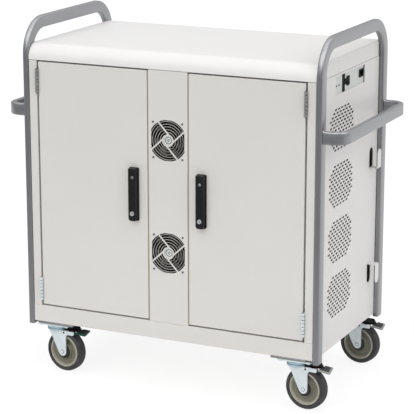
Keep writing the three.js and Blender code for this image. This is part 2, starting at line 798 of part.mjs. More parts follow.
// Latch: base plate on the door, lever on a spindle through it, key cylinder, and the cam behind the door.
function latch(side) {
  const hand = side < 0 ? "left" : "right";
  const x = side * latchX;
  const baseY = [frontY - fitGap - latchBaseThickness, frontY - fitGap];
  const leverY = [baseY[0] - fitGap - leverThickness, baseY[0] - fitGap];
  const keyZ = latchBottom + keyRise;
  const base = cut(
    slab(outline(rectangle(around(x, latchWidth / 2), [latchBottom, latchTop])), "xz", baseY),
    round("y", [x, pivotZ], [baseY[0] - 1, baseY[1] + 1], spindleRadius + fitGap, 16),
  );
  add(`${hand}_latch_base`, base, black());

  const foot = leverWidth / 2 - 4;
  const leverOutline = outline([
    [x - foot, latchBottom + leverMargin],
    [x + foot, latchBottom + leverMargin],
    [x + leverWidth / 2, latchBottom + leverMargin + 8],
    [x + leverWidth / 2, latchTop - leverMargin - 6],
    [x + foot, latchTop - leverMargin],
    [x - foot, latchTop - leverMargin],
    [x - leverWidth / 2, latchTop - leverMargin - 6],
    [x - leverWidth / 2, latchBottom + leverMargin + 8],
  ]);
  const spindleEnd = camFront + camThickness + 2;
  const spindle = round("y", [x, pivotZ], [leverY[1] - 1, spindleEnd], spindleRadius, 16);
  const lever = cut(
    join(slab(leverOutline, "xz", leverY), spindle),
    round("y", [x, keyZ], [leverY[0] - 1, leverY[0] + keyDepth], keyRadius + fitGap, 16),
  );
  add(`${hand}_latch_lever`, lever, black());

  const cylinderY = [leverY[0] - keyProud, leverY[0] + keyDepth - fitGap];
  const cylinder = round("y", [x, keyZ], cylinderY, keyRadius, 16);
  const keyway = block(around(x, 0.8), [leverY[0] - keyProud - 1, leverY[0]], around(keyZ, 4));
  add(`${hand}_key_cylinder`, cut(cylinder, keyway), steel());

  const camZ = [pivotZ - camWidth / 2, pivotZ + camReach];
  const cam = cut(
    block(around(x, camWidth / 2), [camFront, camFront + camThickness], camZ),
    round("y", [x, pivotZ], [camFront - 1, camFront + camThickness + 1], spindleRadius + fitGap, 16),
  );
  add(`${hand}_latch_cam`, cam, zinc());
}

// Rear door: a folded pan that turns on pins in the rear rail and the lid's lip.
function rearDoor() {
  const reach = halfWidth - rearDoorGap;
  const z = [doorBottom, doorTop];
  const keyX = reach - rearKeyInset;
  const keyZ = (doorBottom + doorTop) / 2;
  const pan = cut(
    block([-reach, reach], [backY - doorDepth, backY], z),
    block(
      [sheet - reach, reach - sheet],
      [backY - doorDepth - 1, backY - sheet],
      [doorBottom + sheet, doorTop - sheet],
    ),
    round("y", [keyX, keyZ], [backY - sheet - 1, backY + 1], rearKeyRadius + fitGap, 16),
  );
  const reachIn = doorGap + rearPinLength;
  const pins = [
    round("z", rearPivot(), [doorBottom - reachIn, doorBottom + sheet], rearPinRadius, 16),
    round("z", rearPivot(), [doorTop - sheet, doorTop + reachIn], rearPinRadius, 16),
  ];
  add("rear_door", join(pan, ...pins), white());

  const key = join(
    round("y", [keyX, keyZ], [backY - rearKeyDepth, backY + rearKeyProud], rearKeyRadius, 16),
    round("y", [keyX, keyZ], [backY + fitGap, backY + rearKeyProud - 1], rearKeyFlange, 16),
  );
  const keyFace = backY + rearKeyProud;
  const keyway = block(around(keyX, 0.8), [keyFace - 2, keyFace + 1], around(keyZ, 4));
  add("rear_key_cylinder", cut(key, keyway), steel());
}

// A ring turned about the wheel's axis; the profile is half-widths from the bore outwards.
function wheelSolid() {
  const half = wheelWidth / 2;
  const bore = axleRadius + fitGap;
  const steps = [
    [bore, wheelHubWidth / 2],
    [18, wheelHubWidth / 2],
    [22, half - 8],
    [44, half - 7],
    [50, half - 1],
    [wheelRadius - 5, half],
    [wheelRadius, half - 6],
  ];
  const near = steps.map(([r, n]) => new THREE.Vector2(r, -n));
  const far = steps.map(([r, n]) => new THREE.Vector2(r, n)).reverse();
  const profile = [...near, ...far, near[0].clone()];
  return solid(new THREE.LatheGeometry(profile, 20));
}

// Swivel caster with a brake, its fork trailing along +X before it is turned to its rest place.
function caster(end, side) {
  const name = `${end < 0 ? "front" : "rear"}_${side < 0 ? "left" : "right"}`;
  const x = side * (halfWidth - casterSideInset);
  const y = end < 0 ? frontY + casterEndInset : backY - casterEndInset;
  const plateZ = [plateTop - plateThickness, plateTop];
  const deckZ = [forkTop - forkDeck, forkTop];
  const pinHeadZ = [deckZ[0] - fitGap - 3, deckZ[0] - fitGap];
  const plate = join(
    block(around(x, plateLength / 2), around(y, plateWidth / 2), plateZ),
    round("z", [x, y], [forkTop + fitGap, plateZ[0] + 1], swivelRadius, 16),
    round("z", [x, y], [pinHeadZ[0], plateZ[0]], kingPinRadius, 12),
    round("z", [x, y], pinHeadZ, kingPinHead, 12),
  );
  add(`${name}_caster_plate`, plate, zinc());

  const turning = new THREE.Group();
  turning.position.set(x, y, 0);
  turning.rotation.z = THREE.MathUtils.degToRad(casterRestTurn);
  cart.add(turning);

  const leg = new THREE.Shape();
  const legTop = forkTop - 2;
  const armLow = forkTop - forkArmDepth;
  leg.moveTo(-forkBackReach, legTop);
  leg.lineTo(wheelTrail - forkBossRadius + 1, wheelRadius - forkBossRadius / 2 + 0.5);
  leg.absarc(wheelTrail, wheelRadius, forkBossRadius, 1.15 * Math.PI, 2 * Math.PI);
  leg.lineTo(wheelTrail + forkBossRadius, armLow - forkStep);
  leg.lineTo(wheelTrail + forkBossRadius + forkStep, armLow);
  leg.lineTo(forkArmReach, armLow);
  leg.lineTo(forkArmReach, legTop);
  const legs = [-1, 1].map((n) => {
    const throughLeg = [n * (forkGap - 1), n * (forkGap + forkPlate + 1)];
    return cut(
      slab(leg, "xz", [n * forkGap, n * (forkGap + forkPlate)], 3),
      round("y", [wheelTrail, wheelRadius], throughLeg, axleRadius + fitGap),
      round("y", [pedalPivotReach, pedalPivotZ], throughLeg, pedalPinRadius + fitGap, 8),
    );
  });
  const outer = forkGap + forkPlate;
  const deck = join(
    round("z", [0, 0], deckZ, swivelRadius, 16),
    block([0, wheelTrail + forkStep], [-outer, outer], [deckZ[0], legTop]),
  );
  const pinHole = round("z", [0, 0], [deckZ[0] - 1, deckZ[1] + 1], kingPinRadius + fitGap, 12);
  add(`${name}_fork`, cut(join(deck, ...legs), pinHole), zinc(), turning);

  const headFrom = outer + fitGap;
  const axle = join(
    round("y", [wheelTrail, wheelRadius], [-headFrom - 1, headFrom + 1], axleRadius, 12),
    round("y", [wheelTrail, wheelRadius], [headFrom, headFrom + axleHeadHeight], axleHeadRadius, 6),
    round("y", [wheelTrail, wheelRadius], [-headFrom, -headFrom - axleHeadHeight], axleHeadRadius, 12),
  );
  add(`${name}_axle`, axle, steel(), turning);

  const wheelPlace = new THREE.Group();
  wheelPlace.position.set(wheelTrail, 0, wheelRadius);
  turning.add(wheelPlace);
  add(`${name}_wheel`, wheelSolid(), wheelGrey(), wheelPlace);

  const inner = forkGap - 1;
  const fromPivot = (points) => outline(points.map(([t, z]) => [pedalPivotReach + t, pedalPivotZ + z]));
  const housing = fromPivot([
    [-16, -3],
    [24, -6],
    [30, -3],
    [30, 4],
    [20, 9],
    [-10, 9],
    [-16, 6],
  ]);
  const treadRoot = pedalPivotReach + 17;
  const tread = outline([
    [treadRoot, -outer],
    [treadRoot + 35, -outer],
    [treadRoot + 38, -outer + 4],
    [treadRoot + 24, outer],
    [treadRoot, outer],
  ]);
  const pedal = join(
    slab(housing, "xz", [-inner, inner]),
    slab(tread, "xy", [pedalPivotZ - 5.5, pedalPivotZ - 0.5]),
    round("y", [pedalPivotReach, pedalPivotZ], [-outer, outer], pedalPinRadius, 8),
  );
  const treadColour = end < 0 && side < 0 ? green() : black();
  add(`${name}_brake_pedal`, pedal, treadColour, turning);
}

baseTray();
centreColumn();
powerBayWall();
lid();
rearDoor();
powerPanel();
mainsInlet();
powerSwitch();
coolingFan("upper", fanHeights[0]);
coolingFan("lower", fanHeights[1]);
for (const side of [-1, 1]) {
  sidePanel(side);
  endFrame(side);
  pushHandle(side);
  laptopRack(side, "lower");
  laptopRack(side, "upper");
  outletStrip(side);
  frontDoor(side);
  hingeLeaf(side, "upper");
  hingeLeaf(side, "lower");
  latch(side);
  caster(-1, side);
  caster(1, side);
}

export default cart;
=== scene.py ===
import math

import bmesh
import bpy
from mathutils import Matrix, Vector


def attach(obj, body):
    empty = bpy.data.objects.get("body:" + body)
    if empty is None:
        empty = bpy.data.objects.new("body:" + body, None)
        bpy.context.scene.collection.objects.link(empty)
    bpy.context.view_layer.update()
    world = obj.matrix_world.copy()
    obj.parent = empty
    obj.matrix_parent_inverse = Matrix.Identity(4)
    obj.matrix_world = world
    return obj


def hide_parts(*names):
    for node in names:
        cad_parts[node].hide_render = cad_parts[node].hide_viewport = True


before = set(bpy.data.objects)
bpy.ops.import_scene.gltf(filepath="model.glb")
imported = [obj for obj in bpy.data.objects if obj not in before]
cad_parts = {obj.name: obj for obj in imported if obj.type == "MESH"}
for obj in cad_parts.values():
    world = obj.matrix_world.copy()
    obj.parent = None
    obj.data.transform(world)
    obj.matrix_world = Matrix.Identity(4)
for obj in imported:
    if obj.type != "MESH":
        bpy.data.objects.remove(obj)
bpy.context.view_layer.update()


# Camera
# A long lens off the right front corner, a little higher than the worktop, so that the front, the right side
# and the top all show and the cart fills the frame.
scene = bpy.context.scene
scene.view_settings.view_transform = "Standard"
lens = bpy.data.cameras.new("camera")
lens.lens = 156.9
lens.sensor_width = 36.0
lens.clip_end = 60.0
camera = bpy.data.objects.new("camera", lens)
camera.location = (2.1854, -4.6949, 1.8183)
camera.rotation_euler = [math.radians(turn) for turn in (75.645, 0.0, 24.916)]
scene.collection.objects.link(camera)
scene.camera = camera


# Studio
# A pale floor in a white surround that is dim towards the front. Broad lamps stand in front, on the right, above and
# low behind on the right, where one draws the edges of the tubes; the surround lights the rest softly.
class Socket:
    """One socket of a node, so that shader maths reads as plain sums."""

    def __init__(self, tree, socket=None):
        self.tree = tree
        self.socket = socket

    def node(self, kind, settings=None, sockets=None, out=0):
        made = self.tree.nodes.new("ShaderNode" + kind)
        for name, value in (settings or {}).items():
            if name == "stops":
                ramp = made.color_ramp
                ramp.elements.remove(ramp.elements[-1])
                for place, colour in value[1:]:
                    ramp.elements.new(place).color = colour
                ramp.elements[0].position, ramp.elements[0].color = value[0]
            else:
                setattr(made, name, value)
        for name, value in (sockets or {}).items():
            if isinstance(value, Socket):
                self.tree.links.new(value.socket, made.inputs[name])
            else:
                made.inputs[name].default_value = value
        return Socket(self.tree, made.outputs[out])

    def sum(self, operation, first, second):
        return self.node("Math", {"operation": operation}, {0: first, 1: second})

    def __add__(self, other):
        return self.sum("ADD", self, other)

    __radd__ = __add__

    def __sub__(self, other):
        return self.sum("SUBTRACT", self, other)

    def __rsub__(self, other):
        return self.sum("SUBTRACT", other, self)

    def __mul__(self, other):
        return self.sum("MULTIPLY", self, other)

    __rmul__ = __mul__

    def between(self, low, high):
        """From colour low to colour high as this value goes from 0 to 1."""
        return self.node("Mix", {"data_type": "RGBA"}, {0: self, 6: low, 7: high}, out=2)

    def ramp(self, low, high):
        """0 below low, 1 above high."""
        return self.node("MapRange", {"clamp": True}, {"Value": self, "From Min": low, "From Max": high})


def seen(tree, base, direct, mirrored):
    """Light as it falls, with another shader for what the lens sees and another for what gloss mirrors."""
    rays = Socket(tree)
    straight = rays.node("LightPath", out="Is Camera Ray")
    through = rays.node("LightPath", out="Is Transmission Ray")
    gloss = rays.node("LightPath", out="Is Glossy Ray")
    shown = rays.node("MixShader", {}, {0: gloss, 1: base, 2: mirrored})
    return rays.node("MixShader", {}, {0: rays.sum("MAXIMUM", straight, through), 1: shown, 2: direct})


white_light = (1.0, 1.0, 1.0, 1.0)
surround = bpy.data.worlds.new("surround")
scene.world = surround
surround.use_nodes = True
tree = surround.node_tree
sky = Socket(tree)
soft = sky.node("Background", {}, {"Color": (0.5, 0.5, 0.5, 1.0)})
white = sky.node("Background", {}, {"Color": white_light})
way = sky.node("TexCoord", out="Generated")
above = way.node("SeparateXYZ", {}, {"Vector": way}, out="Z").ramp(0.3, 0.62)
dim = sky.node("Background", {}, {"Color": above.between((0.48, 0.48, 0.5, 1.0), white_light)})
mixed = seen(tree, soft, white, dim)
tree.links.new(mixed.socket, tree.nodes["World Output"].inputs["Surface"])

lamps = (
    ("front", (-0.1, -0.7, 0.7), 1.19, 55.0, (1.0, 0.995, 0.965)),
    ("right", (0.8, -0.1, 0.58), 0.98, 50.0, (0.95, 0.945, 1.0)),
    ("rear", (0.5, 0.82, 0.28), 0.25, 50.0, (1.0, 1.0, 1.0)),
    ("top", (0.0, 0.1, 1.0), 0.72, 60.0, (1.0, 1.0, 1.0)),
)
for name, towards, power, spread, colour in lamps:
    light = bpy.data.lights.new(name, "SUN")
    light.energy = power
    light.color = colour
    light.angle = math.radians(spread)
    lamp = bpy.data.objects.new(name, light)
    lamp.rotation_euler = Vector(towards).to_track_quat("Z", "Y").to_euler()
    scene.collection.objects.link(lamp)

bm = bmesh.new()
bmesh.ops.create_grid(bm, x_segments=1, y_segments=1, size=20.0)
floor_mesh = bpy.data.meshes.new("floor")
bm.to_mesh(floor_mesh)
bm.free()
floor_paint = bpy.data.materials.new("floor_paint")
floor_paint.use_nodes = True
tree = floor_paint.node_tree
ground = Socket(tree)
shade = ground.node("BsdfDiffuse", {}, {"Color": (0.16, 0.16, 0.16, 1.0)})
glow = ground.node("Emission", {}, {"Color": white_light, "Strength": 0.86})
both = ground.node("AddShader", {}, {0: shade, 1: glow})
place = ground.node("TexCoord", out="Object")
# Painted light on the floor: near the cart its colour for bounced light is paler, a painted pool of light that throws
# more light onto the cart's lower parts.
near_cart_painted_light = place.node("VectorMath", {"operation": "LENGTH"}, {0: place}, out="Value").ramp(2.4, 0.5)
painted_light_pool = near_cart_painted_light.between((0.66, 0.66, 0.66, 1.0), (0.96, 0.96, 0.96, 1.0))
matt = ground.node("BsdfDiffuse", {}, {"Color": painted_light_pool})
behind = place.node("SeparateXYZ", {}, {"Vector": place}, out="Y").ramp(-2.2, 0.8)
dim = ground.node("Emission", {}, {"Color": behind.between((0.31, 0.31, 0.33, 1.0), white_light)})
mixed = seen(tree, matt, both, dim)
tree.links.new(mixed.socket, tree.nodes["Material Output"].inputs["Surface"])
floor_mesh.materials.append(floor_paint)
floor = bpy.data.objects.new("floor", floor_mesh)
scene.collection.objects.link(floor)


# Base tray
# The floor of the cabinet: one steel sheet, powder coated off-white, folded up into a rail with a turned-in lip
# at the front and the back. Sizes are in millimetres and turn into metres as each piece is closed.
def screen(red, green, blue):
    """A colour as read off a screen, 0 to 255, as light."""
    return tuple(((c / 255 + 0.055) / 1.055) ** 2.4 for c in (red, green, blue)) + (1.0,)


def new_finish(name):
    material = bpy.data.materials.new(name)
    material.use_nodes = True
    surface = material.node_tree.nodes["Principled BSDF"]
    return material, surface, Socket(material.node_tree).node("TexCoord", out="Object")


def dress(surface, looks):
    for name, value in looks.items():
        if isinstance(value, Socket):
            value.tree.links.new(value.socket, surface.inputs[name])
        else:
            surface.inputs[name].default_value = value


def noise(place, scale, detail=2.0, rough=0.5):
    return place.node("TexNoise", {}, {"Vector": place, "Scale": scale, "Detail": detail, "Roughness": rough})


def bump(height, strength, distance):
    return height.node("Bump", {}, {"Strength": strength, "Distance": distance, "Height": height})


def powder_coat(name, colour, shade, roughness):
    """Baked powder coat: a fine orange peel, a slow drift in tone, a little dust low down and along the edges."""
    material, surface, place = new_finish(name)
    peel = noise(place, 520.0)
    drift = noise(place, 2.6, 4.0, 0.6)
    speck = noise(place, 160.0, 3.0, 0.7).ramp(0.66, 0.78)
    low = place.node("SeparateXYZ", {}, {"Vector": place}, out="Z").ramp(0.42, 0.15)
    worn = place.node("Attribute", {"attribute_name": "worn"}, out="Fac")
    dust = drift.ramp(0.38, 0.85) * 0.45 + low * drift * 0.2 + speck * 0.12 + worn * 0.2
    looks = {
        "Base Color": dust.between(colour, shade),
        "Roughness": peel * 0.1 + drift * 0.1 + (roughness - 0.1),
        "Normal": bump(peel, 0.1, 0.0004),
        "Specular IOR Level": 0.4,
    }
    dress(surface, looks)
    return material


def blank():
    """An empty mesh; worn marks the faces along rounded edges."""
    made = bmesh.new()
    made.faces.layers.float.new("worn")
    return made


def chain(part, points):
    corners = [part.verts.new(point) for point in points]
    return [part.edges.new(pair) for pair in zip(corners, corners[1:])]


def soften(part, edges, width, steps):
    """Rounds edges, marks what it made as worn and keeps the flats beside it flat."""
    worn = part.faces.layers.float["worn"]
    made = bmesh.ops.bevel(
        part, geom=edges, offset=width, offset_type="OFFSET", segments=steps, profile=0.5, affect="EDGES",
        material=-1, clamp_overlap=True,
    )
    for face in made["faces"]:
        face[worn] = 1.0
    beside = {face for strip in made["faces"] for edge in strip.edges for face in edge.link_faces}
    flats = [face for face in beside if face[worn] == 0.0]
    broad = [face for face in flats if face.calc_area() > 3.0 * max(edge.calc_length() for edge in face.edges)]
    if broad:
        bmesh.ops.inset_individual(part, faces=broad, thickness=0.25, use_even_offset=False)


def settle(bm, part, place=None, coat=0):
    """Puts a finished shape into a piece, in its place and with its faces outward."""
    bmesh.ops.remove_doubles(part, verts=part.verts, dist=0.0005)
    bmesh.ops.recalc_face_normals(part, faces=part.faces)
    for face in part.faces:
        face.material_index = coat
    if place is not None:
        bmesh.ops.transform(part, matrix=place, verts=part.verts)
        if place.determinant() < 0:
            bmesh.ops.reverse_faces(part, faces=part.faces)
    store = bpy.data.meshes.new("store")
    part.to_mesh(store)
    part.free()
    bm.from_mesh(store)
    bpy.data.meshes.remove(store)


def folded_sheet(bm, profile, run, bend, gauge, inside, place=None, coat=0):
    """A sheet folded along a profile of its outer face and as long as run; inside lies behind its first face."""
    part = blank()
    edges = chain(part, profile)
    grown = bmesh.ops.extrude_edge_only(part, edges=edges)["geom"]
    bmesh.ops.translate(part, vec=run, verts=[v for v in grown if isinstance(v, bmesh.types.BMVert)])
    first = edges[0].link_faces[0]
    first.normal_update()
    if first.normal.dot(Vector(inside) - first.calc_center_median()) > 0:
        bmesh.ops.reverse_faces(part, faces=part.faces)
    folds = [edge for edge in part.edges if len(edge.link_faces) == 2]
    soften(part, folds, bend, 4)
    for face in part.faces:
        face.normal_update()
    bmesh.ops.solidify(part, geom=part.faces[:], thickness=gauge)
    settle(bm, part, place, coat)


def piece(name, bm, finishes, body, nodes=(), crease=32.0):
    """Closes a mesh as a piece of the cart that moves with a body."""
    bmesh.ops.scale(bm, vec=(0.001, 0.001, 0.001), verts=bm.verts)
    mesh = bpy.data.meshes.new(name)
    bm.to_mesh(mesh)
    bm.free()
    for finish in finishes:
        mesh.materials.append(finish)
    mesh.shade_smooth()
    mesh.set_sharp_from_angle(angle=math.radians(crease))
    made = bpy.data.objects.new(name, mesh)
    scene.collection.objects.link(made)
    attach(made, body)
    if nodes:
        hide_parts(*nodes)
    return made


cabinet_paint = powder_coat("cabinet_paint", screen(214, 212, 209), screen(205, 202, 198), 0.42)
SHEET = 1.5
FRONT, BACK = -252.0, 268.0
BODY_LOW, RAIL_TOP, SEAM = 155.0, 206.0, 942.0
INNER = 444.7

bm = blank()
tray_profile = [
    (-INNER, FRONT + 18, RAIL_TOP),
    (-INNER, FRONT, RAIL_TOP),
    (-INNER, FRONT, BODY_LOW),
    (-INNER, BACK, BODY_LOW),
    (-INNER, BACK, RAIL_TOP),
    (-INNER, BACK - 18, RAIL_TOP),
]
folded_sheet(bm, tray_profile, (2 * INNER, 0, 0), 2.4, SHEET, (0, 0, 180))
piece("base_tray_sheet", bm, [cabinet_paint], "cabinet", ["base_tray"])


# Side panels
# Sheet steel pans with four round patches of punched slots. The front edge steps in behind the tube post and
# turns into the door stile; the right one also has the power opening and two cord hooks folded out of it.
def facing(origin, across, up):
    """A drawing board in space: x runs across, y runs up and z comes out of it."""
    across, up = Vector(across), Vector(up)
    turn = Matrix((across, up, across.cross(up))).transposed().to_4x4()
    return Matrix.Translation(Vector(origin)) @ turn


def rounded(part, width, height, radius, at=(0.0, 0.0), steps=3, foot=None):
    """A rectangle with round corners, a slot or a circle; foot is the radius of the two lower corners."""
    segments = 4 * steps
    reach = 1 / math.cos(math.pi / segments)
    made = bmesh.ops.create_circle(part, cap_ends=False, segments=segments, radius=reach)["verts"]
    bmesh.ops.rotate(part, cent=(0, 0, 0), matrix=Matrix.Rotation(math.pi / segments, 3, "Z"), verts=made)
    for corner in made:
        x, y = corner.co.x, corner.co.y
        r = foot if foot is not None and y < 0 else radius
        corner.co.x = at[0] + r * x + math.copysign(width / 2 - r, x)
        corner.co.y = at[1] + r * y + math.copysign(height / 2 - r, y)
    return list({edge for corner in made for edge in corner.link_edges})


def ring(part, points):
    corners = [part.verts.new((u, v, 0.0)) for u, v in points]
    return [part.edges.new(pair) for pair in zip(corners, corners[1:] + corners[:1])]


def box_ring(part, left, right, low, high):
    return ring(part, [(left, low), (right, low), (right, high), (left, high)])


def fill(part):
    """Sheet between an outline and the holes in it."""
    bmesh.ops.triangle_fill(part, use_beauty=True, edges=part.edges[:], normal=(0, 0, 1))


def thicken(part, gauge):
    """Gives a flat shape its thickness, behind the board that it is drawn on."""
    grown = bmesh.ops.extrude_face_region(part, geom=part.faces[:])["geom"]
    bmesh.ops.translate(part, vec=(0, 0, -gauge), verts=[v for v in grown if isinstance(v, bmesh.types.BMVert)])


def join_flat(part, other):
    store = bpy.data.meshes.new("store")
    other.to_mesh(store)
    other.free()
    part.from_mesh(store)
    bpy.data.meshes.remove(store)


HANDS = ((-1, "left"), (1, "right"))
UP = Vector((0, 0, 1))
PANEL_X = 449.0
FACE_FRONT, FACE_BACK = -219.7, 235.7
FACE_TOP = SEAM - 0.3
JAMB_X = 419.7
GRILLE_Y = -63.0
GRILLE_HEIGHTS = (786.0, 625.0, 464.0, 303.0)
SLOT_ROWS = (5, 6, 7, 8, 7, 8, 7, 8, 7, 8, 7, 6, 5)
HOOK_Y = 184.0

for side, hand in HANDS:
    bm = blank()
    board = facing((side * PANEL_X, 0, 0), (0, side, 0), UP)
    part = blank()
    ends = sorted((side * FACE_FRONT, side * FACE_BACK))
    box_ring(part, ends[0], ends[1], BODY_LOW, FACE_TOP)
    for height in GRILLE_HEIGHTS:
        middle = side * GRILLE_Y
        box_ring(part, middle - 97, middle + 97, height - 64, height + 64)
    if side > 0:
        box_ring(part, -117, 115, 884, 936)
        rounded(part, 29, 59, 14.4, (HOOK_Y, 649.5), 6, foot=1.0)
        rounded(part, 29, 59, 1.0, (HOOK_Y, 297.5), 6, foot=14.4)
    fill(part)
    for height in GRILLE_HEIGHTS:
        patch = blank()
        middle = side * GRILLE_Y
        box_ring(patch, middle - 97, middle + 97, height - 64, height + 64)
        for row, count in enumerate(SLOT_ROWS):
            for i in range(count):
                at = (middle + (i - (count - 1) / 2) * 24.0, height + (6 - row) * 9.5)
                rounded(patch, 16.6, 5.9, 2.95, at)
        fill(patch)
        join_flat(part, patch)
    bmesh.ops.remove_doubles(part, verts=part.verts, dist=0.001)
    thicken(part, SHEET)
    settle(bm, part, board)
    x = side * PANEL_X
    stile = [
        (x, FACE_FRONT, RAIL_TOP + 0.3),
        (side * INNER, FACE_FRONT, RAIL_TOP + 0.3),
        (side * INNER, FRONT, RAIL_TOP + 0.3),
        (side * JAMB_X, FRONT, RAIL_TOP + 0.3),
        (side * JAMB_X, FRONT + 22, RAIL_TOP + 0.3),
    ]
    rise = (0, 0, FACE_TOP - RAIL_TOP - 0.3)
    folded_sheet(bm, stile, rise, 1.7, SHEET, (side * 447, 0, 500))
    heel = [
        (x, FACE_BACK, RAIL_TOP + 0.3),
        (side * INNER, FACE_BACK, RAIL_TOP + 0.3),
        (side * INNER, BACK, RAIL_TOP + 0.3),
    ]
    folded_sheet(bm, heel, rise, 1.7, SHEET, (side * 447, 0, 500))
    if side > 0:
        for shelf, way in ((619.2, 1), (327.8, -1)):
            tab = blank()
            profile = [(447.6, HOOK_Y - 14.5, shelf), (475.2, HOOK_Y - 14.5, shelf)]
            profile.append((475.2, HOOK_Y - 14.5, shelf + way * 58.0))
            edges = chain(tab, profile)
            grown = bmesh.ops.extrude_edge_only(tab, edges=edges)["geom"]
            far = [v for v in grown if isinstance(v, bmesh.types.BMVert)]
            bmesh.ops.translate(tab, vec=(0, 29, 0), verts=far)
            tips = [v for v in tab.verts if abs(v.co.z - shelf) > 50]
            bmesh.ops.bevel(
                tab, geom=tips, offset=14.3, offset_type="OFFSET", segments=8, profile=0.5, affect="VERTICES",
                material=-1,
            )
            folds = [edge for edge in tab.edges if len(edge.link_faces) == 2]
            soften(tab, folds, 3.0, 4)
            blade = max(tab.faces, key=lambda f: abs(f.normal.x))
            if blade.normal.x < 0:
                bmesh.ops.reverse_faces(tab, faces=tab.faces)
            bmesh.ops.solidify(tab, geom=tab.faces[:], thickness=SHEET)
            settle(bm, tab)
    piece(hand + "_side_sheet", bm, [cabinet_paint], "cabinet", [hand + "_side_panel"])


# Centre column
# A folded steel channel between the doors. Each fan looks out through a round window cut in its face, which
# leaves four spokes and a ring of sheet; four screws beside the window hold the fan behind it.
def cross_screw(bm, place, radius, coat=0):
    """A pan-head screw with a cross recess, standing on a board."""
    part = blank()
    rim = rounded(part, 1.2 * radius, 1.2 * radius, 0.6 * radius, steps=4)
    arm, reach = 0.14 * radius, 0.46 * radius
    corners = [(arm, reach), (-arm, reach), (-arm, arm), (-reach, arm), (-reach, -arm), (-arm, -arm)]
    cross = ring(part, corners + [(-u, -v) for u, v in corners])
    fill(part)
    walls = bmesh.ops.extrude_edge_only(part, edges=cross)["geom"]
    deep = [v for v in walls if isinstance(v, bmesh.types.BMVert)]
    bmesh.ops.translate(part, vec=(0, 0, -0.4 * radius), verts=deep)
    bmesh.ops.edgeloop_fill(part, edges=[e for e in walls if isinstance(e, bmesh.types.BMEdge)])
    for spread, drop in ((1.35, 0.1), (1.2, 0.25), (1.03, 0.35)):
        grown = bmesh.ops.extrude_edge_only(part, edges=rim)["geom"]
        skirt = [v for v in grown if isinstance(v, bmesh.types.BMVert)]
        bmesh.ops.scale(part, vec=(spread, spread, 1), verts=skirt)
        bmesh.ops.translate(part, vec=(0, 0, -drop * radius), verts=skirt)
        rim = [e for e in grown if isinstance(e, bmesh.types.BMEdge)]
    bmesh.ops.translate(part, vec=(0, 0, 0.68 * radius), verts=part.verts)
    settle(bm, part, place, coat)


def window_holes(part, at):
    """The four openings of a fan window: a ring of sheet cut off at the sides and split by the spokes."""
    sector = bmesh.new()
    chain(sector, [(18.0, 0, 0), (59.5, 0, 0)])
    bmesh.ops.spin(
        sector, geom=sector.verts[:] + sector.edges[:], cent=(0, 0, 0), axis=(0, 0, 1), dvec=(0, 0, 0),
        angle=2 * math.pi, steps=60, use_merge=True, use_duplicate=False,
    )
    for way in (Vector((1, 0, 0)), Vector((-1, 0, 0)), UP.cross(Vector((1, 0, 0))), -UP.cross(Vector((1, 0, 0)))):
        reach = 52.0 if abs(way.x) > 0.5 else 58.5
        every = sector.verts[:] + sector.edges[:] + sector.faces[:]
        bmesh.ops.bisect_plane(sector, geom=every, dist=1e-4, plane_co=way * reach, plane_no=way, clear_outer=True)
    for turn in (43.0, 133.0, 223.0, 313.0):
        along = Vector((math.cos(math.radians(turn)), math.sin(math.radians(turn)), 0))
        over = UP.cross(along)
        for side in (-15.6, -11.4):
            every = sector.verts[:] + sector.edges[:] + sector.faces[:]
            bmesh.ops.bisect_plane(sector, geom=every, dist=1e-4, plane_co=over * side, plane_no=over)
        middles = {f: f.calc_center_median() for f in sector.faces}
        spoke = [f for f, m in middles.items() if m.dot(along) > 0 and -15.6 < m.dot(over) < -11.4]
        bmesh.ops.delete(sector, geom=spoke, context="FACES")
    edge_pairs = [edge for edge in sector.edges if len(edge.link_faces) == 1]
    known = {}
    for edge in edge_pairs:
        for v in edge.verts:
            if v not in known:
                known[v] = part.verts.new((v.co.x + at[0], v.co.y + at[1], 0.0))
        part.edges.new([known[v] for v in edge.verts])
    sector.free()


COLUMN_X = 61.2
COLUMN_BACK = 127.7
FANS = (("upper", 743.0), ("lower", 415.0))
bm = blank()
part = blank()
box_ring(part, -57, 57, RAIL_TOP + 0.3, FACE_TOP)
for name, height in FANS:
    window_holes(part, (0.0, height))
    rounded(part, 27, 27, 13.5, (0.0, height), 8)
fill(part)
thicken(part, SHEET)
settle(bm, part, facing((0, FRONT, 0), (1, 0, 0), UP))
for side, hand in HANDS:
    corner = [
        (side * 57, FRONT, RAIL_TOP + 0.3),
        (side * COLUMN_X, FRONT, RAIL_TOP + 0.3),
        (side * COLUMN_X, FRONT + 5, RAIL_TOP + 0.3),
    ]
    folded_sheet(bm, corner, (0, 0, FACE_TOP - RAIL_TOP - 0.3), 1.8, SHEET, (0, 0, 500))
    part = blank()
    u = lambda y: side * y
    outline = [
        (u(FRONT + 5), RAIL_TOP + 0.3),
        (u(-233.7), RAIL_TOP + 0.3),
        (u(-233.7), 156.8),
        (u(COLUMN_BACK), 156.8),
        (u(COLUMN_BACK), FACE_TOP),
        (u(FRONT + 5), FACE_TOP),
    ]
    ring(part, outline)
    rounded(part, 8, 82, 2, (u(-230.5), 630.0), 3)
    for name, height in FANS:
        for row in (-24, 0, 24):
            rounded(part, 274.7, 10, 5, (u(-49.65), height + row), 3)
    fill(part)
    thicken(part, SHEET)
    settle(bm, part, facing((side * COLUMN_X, 0, 0), (0, side, 0), UP))
piece("column_sheet", bm, [cabinet_paint], "cabinet", ["centre_column"])


